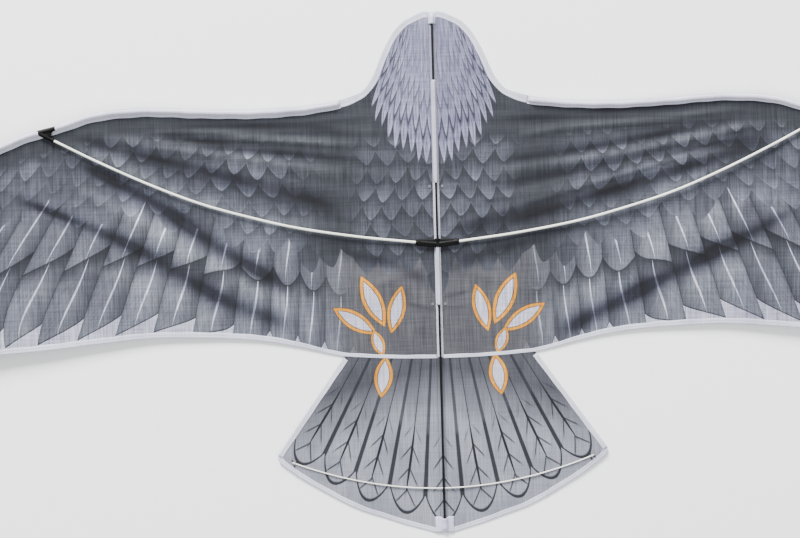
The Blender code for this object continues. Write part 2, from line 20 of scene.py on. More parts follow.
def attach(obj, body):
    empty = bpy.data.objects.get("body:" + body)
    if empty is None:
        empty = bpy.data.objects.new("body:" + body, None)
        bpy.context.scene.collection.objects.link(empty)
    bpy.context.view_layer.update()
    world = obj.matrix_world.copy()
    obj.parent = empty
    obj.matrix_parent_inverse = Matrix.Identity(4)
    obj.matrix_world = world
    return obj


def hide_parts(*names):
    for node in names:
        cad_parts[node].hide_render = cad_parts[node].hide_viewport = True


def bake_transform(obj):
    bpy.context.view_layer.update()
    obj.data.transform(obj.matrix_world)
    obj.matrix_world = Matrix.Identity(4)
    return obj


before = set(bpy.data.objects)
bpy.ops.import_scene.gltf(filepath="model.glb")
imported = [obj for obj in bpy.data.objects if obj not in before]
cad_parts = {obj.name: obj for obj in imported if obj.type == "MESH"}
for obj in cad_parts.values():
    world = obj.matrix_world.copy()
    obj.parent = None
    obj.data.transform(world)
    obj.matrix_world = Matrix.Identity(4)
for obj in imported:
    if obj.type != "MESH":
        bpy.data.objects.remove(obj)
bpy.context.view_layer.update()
log = logging.getLogger("kite")

Array = np.ndarray
BMesh = bmesh.types.BMesh
Material = bpy.types.Material
Triple = tuple[float, float, float]
Node = bpy.types.Node
Piece = bpy.types.Object
# A function of u and v, or of places across and along, and one that fills a UV map
Place = Callable[[Array, Array], Array]
Chart = Callable[[Array, Array, Array], Array]
# The setting that a node's kind may name after a dot
CHOICES = {"Math": "operation", "Mix": "data_type"}

# Share of the head's half width, of its length, and of the trailing edge's rise
HEAD_SHARES = (
    (0.0, 0.0, 0.0), (0.125, 0.005, 0.003), (0.25, 0.06, 0.009), (0.375, 0.13, 0.016),
    (0.5, 0.267, 0.025), (0.625, 0.488, 0.041), (0.75, 0.774, 0.06), (0.875, 0.94, 0.082),
    (1.0, 1.0, 0.111),
)
# Share of the way from shoulder to tip, of the leading drop, and of the trailing rise
WING_SHARES = (
    (0.029, 0.02, 0.158), (0.065, 0.033, 0.296), (0.118, 0.045, 0.542), (0.178, 0.05, 0.758),
    (0.237, 0.05, 0.893), (0.305, 0.044, 0.965), (0.355, 0.036, 0.997), (0.405, 0.032, 1.006),
    (0.454, 0.035, 0.95), (0.493, 0.042, 0.88), (0.533, 0.061, 0.82), (0.58, 0.097, 0.729),
    (0.631, 0.126, 0.646), (0.671, 0.159, 0.596), (0.71, 0.2, 0.539), (0.768, 0.276, 0.338),
    (0.828, 0.384, 0.101), (0.888, 0.518, -0.138), (0.937, 0.667, -0.22),
    (0.973, 0.823, 0.0), (0.992, 0.933, 0.504), (1.0, 1.0, 1.102),
)
# Share of the tail's half width, and of its fan's depth above the tail's tip
TAIL_SHARES = (
    (0.0, 0.0), (0.06, 0.026), (0.12, 0.065), (0.245, 0.142), (0.365, 0.232), (0.49, 0.323),
    (0.61, 0.445), (0.73, 0.593), (0.85, 0.748), (0.91, 0.839), (0.97, 0.935), (1.0, 1.0),
)
# Folds of the left wing: a line outwards in millimetres, half width in metres, and the painted
# light added to the colour, negative for painted shade; light ones also raise a ridge
LEFT_FOLDS = (
    (((103, 166), (154, 171), (246, 175), (338, 175)), 0.0059, -0.62),
    (((104, 136), (201, 147), (293, 162), (339, 170)), 0.0063, -0.69),
    (((105, 73), (157, 91), (248, 117), (339, 144), (431, 171)), 0.0104, -0.75),
    (((173, -10), (205, 6), (250, 35), (340, 98), (431, 146)), 0.011, -0.94),
    (((172, -56), (252, -22), (342, 35), (444, 82), (501, 103)), 0.0122, -0.88),
    (((103, 149), (201, 160), (293, 170), (339, 166)), 0.0051, 0.51),
    (((104, 114), (202, 132), (293, 149), (385, 166)), 0.0076, 0.58),
    (((106, 46), (203, 64), (295, 94), (385, 142), (425, 162)), 0.0104, 0.51),
    (((171, -33), (251, 7), (341, 67), (432, 118)), 0.011, 0.58),
    (((252, -50), (343, -5), (434, 24)), 0.0146, 0.29),
    (((7, -14), (26, -2), (52, 12), (82, 19), (130, 33)), 0.007, -0.5),
    (((3, -43), (19, -39), (40, -33)), 0.0024, -0.4),
    (((30, -16), (60, -8), (105, 2)), 0.009, 0.22),
    (((62, -18), (105, -20), (152, -26)), 0.015, 0.18),
)
# The same of the right wing, which fell into other folds
RIGHT_FOLDS = (
    (((87, 175), (168, 179), (306, 186)), 0.0055, -0.44),
    (((80, 126), (167, 137), (259, 153), (352, 170)), 0.0059, -0.69),
    (((74, 99), (166, 114), (259, 131), (391, 149)), 0.0067, -0.62),
    (((21, 46), (119, 69), (212, 93), (304, 118), (391, 146)), 0.0104, -0.81),
    (((8, 12), (49, 19), (107, 37), (188, 60)), 0.0067, -0.56),
    (((138, -72), (208, -37), (301, 8), (418, 65)), 0.0122, -1.0),
    (((92, 155), (167, 164), (260, 170), (352, 180)), 0.0046, 0.43),
    (((74, 116), (166, 127), (259, 141), (351, 158), (392, 161)), 0.0059, 0.58),
    (((73, 82), (166, 98), (258, 120), (351, 134)), 0.0067, 0.43),
    (((72, 32), (165, 56), (257, 84), (350, 124)), 0.0085, 0.36),
    (((139, -37), (232, 6), (326, 58), (419, 96)), 0.0146, 0.36),
    (((254, -44), (347, -1), (394, 18)), 0.0146, 0.36),
    (((4, -28), (18, -26), (36, -22)), 0.0024, -0.4),
    (((4, -41), (18, -40.5), (34, -39)), 0.0022, -0.35),
    (((6, 1), (30, 8), (56, 12)), 0.005, -0.3),
)
# Share of the way from the spine to the fitting's tip, across and along the kite
SPREADER_SHARES = (
    (0.2, 0.078), (0.35, 0.161), (0.475, 0.263), (0.6, 0.388), (0.725, 0.554), (0.85, 0.747),
)
# Printed lens-shaped feathers: centre, turn in degrees, half length and half width
WING_DROPS = (
    (0.076, -0.031, -24.0, 0.032, 0.0112), (0.097, -0.053, -58.0, 0.029, 0.0100),
    (0.049, -0.041, 14.0, 0.028, 0.0100), (0.071, -0.079, -20.0, 0.016, 0.0072),
)
TAIL_DROPS = ((0.066, -0.118, 8.0, 0.024, 0.0105),)
# Half of one stitch's length, width and height
STITCH = (0.0011, 0.00022, 0.00016)
# The height of the stitches over the middle of a hem
STITCH_HEIGHT = 0.00036
HEM_THICKNESS = 0.00018
# The size of the faces of a fused moulding's surface
VOXEL = 0.00032


class Side(Enum):
    """One half of the kite, with its sign along X."""

    LEFT = -1
    RIGHT = 1

    @property
    def word(self) -> str:
        """The half's word, which starts the names of its pieces."""
        return self.name.lower()

    @property
    def wing(self) -> str:
        """The body that the wing's pieces ride on."""
        return f"{self.word}_wing"

    @property
    def spreader(self) -> str:
        """The body that the spreader and its fitting ride on."""
        return f"{self.word}_spreader"


def smooth_line(points: Array, places: Array) -> Array:
    """Reads a smooth line through points.

    Args:
        points: The points to pass through, one a row.
        places: Where to read it, counted in points from the first.

    Returns:
        One point a row for each place.
    """
    ends = np.vstack([2 * points[0] - points[1], points, 2 * points[-1] - points[-2]])
    first = np.clip(np.floor(places).astype(int), 0, len(points) - 2)
    t = (places - first)[:, None]
    p0, p1, p2, p3 = (ends[first + k] for k in range(4))
    bend = 2 * p0 - 5 * p1 + 4 * p2 - p3
    twist = 3 * p1 - p0 - 3 * p2 + p3
    return (2 * p1 + (p2 - p0) * t + bend * t**2 + twist * t**3) / 2


def offset_steps(path: Array) -> Array:
    """Gives each point's mitred step to the right of travel, one unit wide.

    Args:
        path: Plan points in order, one a row.

    Returns:
        One step a row.
    """
    ways = np.diff(path, axis=0)
    ways /= np.linalg.norm(ways, axis=1)[:, None]
    normals = np.column_stack([ways[:, 1], -ways[:, 0]])
    before = np.vstack([normals[:1], normals])
    after = np.vstack([normals, normals[-1:]])
    middle = before + after
    middle /= np.linalg.norm(middle, axis=1)[:, None]
    return middle / np.sum(middle * before, axis=1)[:, None]


def ease(low: float | Array, high: float | Array, value: Array) -> Array:
    """A share that rises smoothly from 0 where the value is low to 1 where it is high."""
    t = np.clip((value - low) / (high - low), 0.0, 1.0)
    return t * t * (3 - 2 * t)


@dataclass(frozen=True)
class KiteShape:
    """The outline and heights of the kite that every piece is laid out from."""

    length: float = 0.600
    half_span: float = 0.675
    head_half_width: float = 0.092
    head_length: float = 0.0944
    leading_drop: float = 0.2529
    trailing_rise: float = 0.0317
    nose_to_tail_seam: float = 0.398
    tail_half_width: float = 0.189
    tail_fan_depth: float = 0.0892
    tail_corner_blunt: float = 0.005
    tip_rise: float = 0.024
    cloth: float = 0.0005
    tape_half_width: float = 0.0035
    hinge_x: float = 0.0039
    sail_inner_x: float = 0.0038
    spine_height: float = 0.00375
    spine_radius: float = 0.00125
    tape_top: float = 0.00075
    nose_to_spreader: float = 0.267
    cloth_lift: float = 0.0004
    tail_fan_centre: float = 0.063
    tail_ripple: float = 0.0007
    tail_slack: float = 0.0005
    rod_inset: float = 0.0036
    rod_height: float = 0.0034
    fitting_tip_share: float = 0.18
    fitting_arm: float = 0.020
    centre_arm: float = 0.025
    centre_arm_rise: float = 0.0028
    spreader_start: float = 0.0043
    spreader_end: float = 0.0079
    leading: Array = field(init=False, repr=False)
    trailing: Array = field(init=False, repr=False)
    tip: Array = field(init=False, repr=False)
    upper_way: Array = field(init=False, repr=False)

    def __post_init__(self) -> None:
        """Works out the edges and the wing fitting's place from the sizes."""
        head = np.array(HEAD_SHARES)
        wing = np.array(WING_SHARES)
        reach = self.half_span - self.head_half_width
        x = np.concatenate([
            np.maximum(head[:, 0] * self.head_half_width, self.sail_inner_x),
            self.head_half_width + wing[:, 0] * reach,
        ])
        lead = np.concatenate([
            self.nose_y - head[:, 1] * self.head_length,
            self.shoulder_y - wing[:, 1] * self.leading_drop,
        ])
        trail = self.seam_y + np.concatenate([head[:, 2], wing[:, 2]]) * self.trailing_rise
        object.__setattr__(self, "leading", np.column_stack([x, lead]))
        object.__setattr__(self, "trailing", np.column_stack([x, trail]))
        axis = self.rod_axis()
        inner, outer = axis[len(head) + 11], axis[len(head) + 12]
        object.__setattr__(self, "tip", outer + (inner - outer) * self.fitting_tip_share)
        way = inner - outer
        object.__setattr__(self, "upper_way", way / np.linalg.norm(way))

    @property
    def nose_y(self) -> float:
        """The nose's place along the kite."""
        return self.length / 2

    @property
    def tail_y(self) -> float:
        """The tail tip's place along the kite."""
        return -self.length / 2

    @property
    def spine_top(self) -> float:
        """The height of the spine's upper side."""
        return self.spine_height + self.spine_radius

    @property
    def shoulder_y(self) -> float:
        """Where the head meets the wings' leading edges."""
        return self.nose_y - self.head_length

    @property
    def seam_y(self) -> float:
        """Where the tail is sewn to the wings."""
        return self.nose_y - self.nose_to_tail_seam

    @property
    def spreader_y(self) -> float:
        """Where the spreaders meet the spine."""
        return self.nose_y - self.nose_to_spreader

    def underside(self, x: Array) -> Array:
        """The cloth's height above the ground without its folds."""
        return self.tip_rise * (x / self.half_span) ** 2

    def edge_y(self, edge: Array, x: Array) -> Array:
        """The place along the kite of an edge's smooth line at places across."""
        line = smooth_line(edge, np.linspace(0, len(edge) - 1, 1200))
        return np.interp(x, line[:, 0], line[:, 1])

    def rod_axis(self) -> Array:
        """Lays the leading-edge rod inside its sleeve.

        Returns:
            One point of its axis for each point of the leading edge.
        """
        plan = self.leading + offset_steps(self.leading) * self.rod_inset
        height = self.underside(plan[:, 0]) + self.cloth + self.rod_height
        return np.column_stack([plan, height])

    def spreader_line(self) -> Array:
        """Bows the right spreader between the spine and its fitting.

        Returns:
            Points of its axis from its inner to its outer end.
        """
        slope = self.centre_arm_rise / self.centre_arm
        start = self.spreader_start
        inner = np.array([start, self.spreader_y + slope * start, self.spine_height])
        mouth = np.array([
            self.centre_arm, self.spreader_y + self.centre_arm_rise, self.spine_height
        ])
        points = [mouth]
        for across, along in SPREADER_SHARES:
            x = across * self.tip[0]
            y = self.spreader_y + along * (self.tip[1] - self.spreader_y)
            way = (x - mouth[0]) / (self.tip[0] - mouth[0])
            points.append(np.array([x, y, mouth[2] + (self.tip[2] - mouth[2]) * way]))
        last = points[-1] - self.tip
        points.append(self.tip + last / np.linalg.norm(last) * self.fitting_arm)
        count = 10 * (len(points) - 1)
        route = smooth_line(np.array(points), np.linspace(0, len(points) - 1, count))
        lower = route[-1] - self.tip
        end = self.tip + lower / np.linalg.norm(lower) * self.spreader_end
        return np.vstack([inner, route, end])


SHAPE = KiteShape()


@dataclass(frozen=True)
class WingPlaces:
    """Places on one wing, with the folds, the light and shade painted on them, and the feathers'
    UV maps there.

    x is the distance across without its sign, y the place along the kite.
    """

    side: Side
    x: Array
    y: Array
    fold_height: float = 0.0042
    # How strongly the folds' painted light and shade change the colour
    fold_light: float = 1.15
    crease_height: float = 0.0007
    sag_height: float = 0.0004
    pinch_height: float = 0.0008
    # Painted shade of the packing crease: its centre, radius, half width and darkness
    packing_centre: tuple[float, float] = (0.482, -0.058)
    packing_radius: float = 0.134
    packing_width: float = 0.0016
    packing_depth: float = 0.16
    # Painted shade: the spreader rod's shadow, the outer wings and the right side of the head
    rod_shade: float = 0.15
    left_far_shade: float = 0.06
    right_far_shade: float = 0.17
    right_head_shade: float = 0.17
    head_lock_centre: float = 0.37

    def share(self) -> Array:
        """Measures how far forward the places lie.

        Returns:
            The share of the way from the trailing to the leading edge.
        """
        x, y = self.x, self.y
        lead = SHAPE.edge_y(SHAPE.leading, x)
        trail = SHAPE.edge_y(SHAPE.trailing, x)
        return np.clip((y - trail) / np.maximum(lead - trail, 1e-6), 0.0, 1.0)

    def broad_folds(self) -> tuple[Array, Array]:
        """Lays the broad folds that the spreader pulls into the wing.

        Returns:
            The ridges' height, and the painted light and shade that the folds add to the cloth's
            colour.
        """
        x, y = self.x, self.y
        height, light = np.zeros_like(x), np.zeros_like(x)
        lines = LEFT_FOLDS if self.side is Side.LEFT else RIGHT_FOLDS
        for number, (line, width, added) in enumerate(lines):
            run = smooth_line(np.array(line) / 1000, np.linspace(0, len(line) - 1, 80))
            middle = np.interp(x, run[:, 0], run[:, 1])
            slope = np.interp(x, run[:, 0], np.gradient(run[:, 1], run[:, 0]))
            off = (y - middle) / np.sqrt(1 + slope**2)
            wide = width * (1 - 0.5 * ease(0.28, 0.46, x))
            first, last = run[0, 0], run[-1, 0]
            span = min(1.0, (last - first) / 0.16)
            reach = ease(first - 0.02 * span, first + 0.03 * span, x)
            reach = reach * (1 - ease(last - 0.05 * span, last + 0.008, x))
            lively = 0.86 + 0.14 * np.sin(x * 70 + number * 2.1)
            fold = np.exp(-((off / wide) ** 2)) * reach * lively
            height = height + self.fold_height * max(added, 0.0) * fold
            # Painted light along the light folds and painted shade along the dark ones
            light = light + added * fold
        return height, light

    def folds(self) -> Array:
        """Lays all folds, which fade out at the seams.

        Returns:
            The height at each place.
        """
        share = self.share()
        border = ease(0.02, 0.07, share) * (1 - ease(0.93, 0.965, share))
        border = border * ease(0.004, 0.016, self.x)
        return (self.broad_folds()[0] + self.creases(share)) * border

    def creases(self, share: Array) -> Array:
        """Lays the fine tension creases that run from the wing's fitting to the spine.

        Args:
            share: The share of the way from the trailing to the leading edge.

        Returns:
            The height at each place.
        """
        x, y = self.x, self.y
        sign = self.side.value
        dx, dy = SHAPE.tip[0] - x, SHAPE.tip[1] - y
        away = np.hypot(dx, dy)
        angle = np.arctan2(dy, dx)
        phase = 0.9 * sign + 2.2 * np.sin(angle * 19 + sign)
        wave = 0.5 + 0.5 * np.cos(angle * 118 + phase)
        reach = ease(0.05, 0.26, away) * (1 - ease(0.40, 0.52, away) * 0.55)
        band = ease(-0.10, -0.02, angle) * (1 - ease(0.25, 0.36, angle))
        slack = 0.5 + 0.5 * np.sin(x * 31 + y * 47 + sign * 1.3)
        open_cloth = ease(0.0, 0.2, share) * (1 - ease(0.8, 0.97, share))
        sag = self.sag_height * slack * open_cloth
        centre = np.exp(-((y - SHAPE.spreader_y + 0.02 + x * 0.35) / 0.006) ** 2)
        near = ease(0.005, 0.03, x) * (1 - ease(0.06, 0.15, x))
        pinch = self.pinch_height * centre * near
        fine = self.crease_height * wave**1.5 * reach * band * ease(-0.02, 0.05, dx)
        return fine + sag + pinch

    def packing_crease(self) -> Array:
        """Paints the shade of a thin curved crease that packing left across the left wing; the
        crease itself is not modelled.

        Returns:
            The painted shade that the crease takes from the colour's brightness.
        """
        x, y = self.x, self.y
        across, along = self.packing_centre
        off = np.hypot(x - across, y - along) - self.packing_radius
        turn = np.arctan2(y - along, across - x)
        seen = ease(0.35, 0.5, turn) * (1 - ease(1.45, 1.7, turn)) * (self.side is Side.LEFT)
        return self.packing_depth * np.exp(-((off / self.packing_width) ** 2)) * seen

    def brightness(self) -> Array:
        """Paints light and shade into the dye's colour: on the folds' ridges and in their
        valleys, the spreader's shadow, a crease, and darker outer wings and right side of the
        head.

        Returns:
            The painted brightness at each place, 1 on flat open cloth.
        """
        x, y = self.x, self.y
        # Painted shadow of the spreader rod, a band on the cloth just below it
        line = SHAPE.spreader_line()
        below = np.interp(x, line[:, 0], line[:, 1]) - y
        band = ease(-0.004, 0.006, below) * (1 - ease(0.008, 0.030, below))
        band = band * (1 - ease(0.30, 0.42, x))
        total = 1 + self.fold_light * self.broad_folds()[1] - self.rod_shade * band
        total = np.clip(total - self.packing_crease(), 0.12, 1.8)
        # Painted shade: darker towards the wing tips, more on the right, and over the right side
        # of the head
        right = self.side is Side.RIGHT
        far = ease(0.28, 0.45, x) * (self.right_far_shade if right else self.left_far_shade)
        head = ease(SHAPE.shoulder_y - 0.09, SHAPE.shoulder_y - 0.02, y) * right
        cheek = self.right_head_shade * head * (1 - ease(0.05, 0.10, x))
        return total * (1 - far) * (1 - cheek)

    def z(self) -> Array:
        """The middle of the cloth above the ground."""
        return SHAPE.underside(self.x) + SHAPE.cloth_lift + self.folds()

    @staticmethod
    def lean(x: Array) -> Array:
        """The feathers' lean towards the wing tip, as a slope."""
        angle = np.interp(x, (0.0, 0.18, 0.33, 0.45, 0.58, 0.675), (0, 4, 22, 42, 55, 60))
        return np.tan(np.radians(angle))

    def drop(self) -> tuple[Array, Array]:
        """The distance down from the wing's leading line, and the wing's depth there."""
        lead = np.minimum(SHAPE.edge_y(SHAPE.leading, self.x), SHAPE.shoulder_y - 0.004)
        return lead - self.y, lead - SHAPE.edge_y(SHAPE.trailing, self.x)

    def covert_chart(self) -> Array:
        """Sets the small overlapping feathers out.

        Returns:
            Columns 23 mm and rows 21 mm apart.
        """
        x, y = self.x, self.y
        down, _ = self.drop()
        base = x
        for _ in range(12):
            base = x - np.maximum(down, 0) * self.lean(base) * 0.8
        column = base / 0.023 + 0.18 * np.sin(y * 55 + base * 20)
        row = down / 0.021 + 0.25 * np.sin(base * 33) + 0.12 * np.sin(base * 87)
        return np.column_stack([column, row])

    def quill_chart(self) -> Array:
        """Sets the long flight feathers out.

        Returns:
            Columns 31 mm apart, and two rows over the wing.
        """
        x = self.x
        down, depth = self.drop()
        base = x
        for _ in range(14):
            start = np.maximum(0.172 - 0.29 * base, 0.008)
            base = x - np.maximum(down - start, 0) * self.lean(base)
        start = np.maximum(0.172 - 0.29 * base, 0.008)
        rows = 2.17 + 0.22 * ease(0.19, 0.34, x)
        share = (down - start) / np.maximum(depth - start, 0.004)
        upper = np.clip(share / 0.42, 0.0, 1.0)
        lower = np.clip((share - 0.42) / 0.58, 0.0, 1.2) * (rows - 1)
        column = base / 0.031 + 0.06 * np.sin(base * 41)
        return np.column_stack([column, upper + lower])

    def zone_chart(self) -> Array:
        """Shares the cloth out between the feathers.

        Returns:
            How far the small feathers show, and how far the flight feathers do.
        """
        x, y = self.x, self.y
        down, _ = self.drop()
        chest = (1 - ease(0.06, 0.11, x)) * ease(0.040, 0.06, down)
        chest = chest * (1 - 0.55 * ease(0.155, 0.175, down)) * (1 - ease(0.21, 0.25, down))
        arm = ease(0.11, 0.2, x) * ease(0.024, 0.07 - 0.03 * np.minimum(x / 0.5, 1), down)
        phase = self.side.value * 0.9
        patch = 0.64 + 0.36 * np.sin(x * 37 + y * 29 + phase) * np.cos(x * 17 - y * 53 + phase)
        return np.column_stack([np.maximum(chest, arm) * patch, ease(0.085, 0.15, x)])

    def hackle_chart(self) -> Array:
        """Sets the head's locks out.

        Returns:
            Columns 2.4 degrees and rows 32 mm apart; row 3 is the last.
        """
        x, y = self.x, self.y
        ahead = self.head_lock_centre - y
        angle, radius = np.arctan2(x, ahead), np.hypot(x, ahead)
        column = angle / 0.042 + 0.2 * np.sin(radius * 60) * ease(0.04, 0.12, angle)
        end = np.interp(angle, (0.0, 0.05, 0.15, 0.23, 0.337, 0.375, 0.40, 0.44, 0.5),
                        (0.245, 0.241, 0.229, 0.217, 0.199, 0.190, 0.181, 0.168, 0.15))
        ragged = 0.11 * np.sin(column * 1.9 + 1.3) + 0.07 * np.sin(column * 0.83)
        row = 4.6 + ragged + (radius - end) / 0.032
        return np.column_stack([column, row])

    def shade_chart(self) -> Array:
        """The painted light and shade of the folds, the spreader's shadow and the crease, and
        how round the flight feathers end.
        """
        return np.column_stack([self.brightness(), 1 - ease(0.20, 0.27, self.x)])


def linear(colour: str) -> tuple[float, float, float, float]:
    """Turns an sRGB hex colour into linear light.

    Args:
        colour: Six hex digits after a hash.

    Returns:
        Red, green, blue and alpha.
    """
    parts = [int(colour[k : k + 2], 16) / 255 for k in (1, 3, 5)]
    made = [p / 12.92 if p <= 0.04045 else ((p + 0.055) / 1.055) ** 2.4 for p in parts]
    return (made[0], made[1], made[2], 1.0)


class Finish:
    """One material and the nodes that make it."""

    bump_distance: float = 0.0003

    def __init__(self, name: str, roughness: float, **sockets: float) -> None:
        """Starts the material from its shader.

        Args:
            name: The finish's name.
            roughness: The shader's roughness.
            sockets: Other shader values, by socket name with _ for a space.
        """
        self.material = bpy.data.materials.new(name)
        self.material.use_nodes = True
        self.shader = self.material.node_tree.nodes["Principled BSDF"]
        self.shader.inputs["Roughness"].default_value = roughness
        for key, value in sockets.items():
            self.shader.inputs[key.replace("_", " ")].default_value = value

    def add(self, kind: str, *feeds: object, **settings: object) -> Node:
        """Adds a node with its settings and links.

        Args:
            kind: The node's type after ShaderNode, and after a dot a Math's operation or
                a Mix's data type.
            feeds: A number, colour, socket or node for each input in order; None skips one.
            settings: The node's own options.

        Returns:
            The node.
        """
        kind, _, choice = kind.partition(".")
        if choice:
            settings = {CHOICES[kind]: choice, **settings}
        tree = self.material.node_tree
        made = tree.nodes.new("ShaderNode" + kind)
        for key, value in settings.items():
            setattr(made, key, value)
        sockets = [socket for socket in made.inputs if socket.enabled]
        for socket, value in zip(sockets, feeds):
            if isinstance(value, Node):
                value = next(given for given in value.outputs if given.enabled)
            if isinstance(value, bpy.types.NodeSocket):
                tree.links.new(value, socket)
            elif value is not None:
                socket.default_value = value
        return made

    def finish(self, colour: Node, height: Node, strength: float,
               roughness: Node | None = None) -> Material:
        """Wires the colour, the bump and the roughness into the shader.

        Args:
            colour: The node that gives the base colour.
            height: The node that gives the bump's height.
            strength: How strong the bump is.
            roughness: The node that gives the roughness, where it varies.

        Returns:
            The finished material.
        """
        tree = self.material.node_tree
        bump = self.add("Bump")
        bump.inputs["Strength"].default_value = strength
        bump.inputs["Distance"].default_value = self.bump_distance
        given = next(socket for socket in colour.outputs if socket.enabled)
        tree.links.new(given, self.shader.inputs["Base Color"])
        tree.links.new(height.outputs[0], bump.inputs["Height"])
        tree.links.new(bump.outputs[0], self.shader.inputs["Normal"])
        if roughness is not None:
            tree.links.new(roughness.outputs[0], self.shader.inputs["Roughness"])
        return self.material


@dataclass
class Feathers:
    """The sockets of a printed pattern of overlapping feathers."""

    across: Node
    along: Node
    edge: Node
    under: Node
    owner: Node
    number: Node
    chance: Node


class WovenCloth(Finish):
    """Woven polyester, whose uneven thread streaks every tone."""

    yarn_spacing: float = 0.0011

    def threads(self, low: float, high: float) -> Node:
        """Streaks of uneven yarn, drawn 1.5 mm wide because real 0.2 mm yarn wouldn't show.

        Args:
            low: The darkest streak's brightness.
            high: The lightest streak's brightness.

        Returns:
            The node that gives the brightness.
        """
        place = self.add("TexCoord").outputs["Object"]
        total = None
        for scale, share in (((660.0, 22.0, 24.0), 1.0), ((22.0, 520.0, 24.0), 0.45)):
            drawn = self.add("Mapping", place, None, None, scale)
            streak = self.add("TexNoise", drawn, 1.0, 2.0)
            swing = self.add("MapRange", streak, 0.3, 0.7, (low - 1) * share, (high - 1) * share)
            total = self.add("Math.ADD", swing, total or 1.0)
        return total

    def weave(self) -> Node:
        """Crosses warp and weft, drawn 1.1 mm apart because real ones wouldn't show.

        Returns:
            The node that gives their height.
        """
        axes = self.add("SeparateXYZ", self.add("TexCoord").outputs["Object"])
        waves = []
        for k in (0, 1):
            turns = self.add("Math.MULTIPLY", axes.outputs[k], math.tau / self.yarn_spacing)
            waves.append(self.add("Math.SINE", turns))
        return self.add("Math.ADD", *waves)

    def shaded(self, colour: object, streak: tuple[float, float], shade: object = 1.0) -> Node:
        """Breaks a colour up with the yarn's streaks and soft stains, and multiplies in painted
        light and shade; dark places go bluer.

        Args:
            colour: The printed colour.
            streak: The darkest and lightest brightness of the yarn.
            shade: Painted light and shade, as a further brightness.

        Returns:
            The colour's node.
        """
        place = self.add("TexCoord").outputs["Object"]
        cloud = self.add("TexNoise", place, 21.0, 3.0)
        soft = self.add("MapRange", cloud, 0.3, 0.7, 0.84, 1.16)
        total = self.add("Math.MULTIPLY", self.threads(*streak), soft)
        # Painted light and shade multiply in here
        total = self.add("Math.MULTIPLY", total, shade)
        # Darker tones, painted shade among them, go bluer and lighter ones warmer
        cool = self.add("Math.POWER", total, 0.88)
        tint = self.add("CombineColor", total, total, cool)
        return self.add("Mix.RGBA", 1.0, colour, tint, blend_type="MULTIPLY")


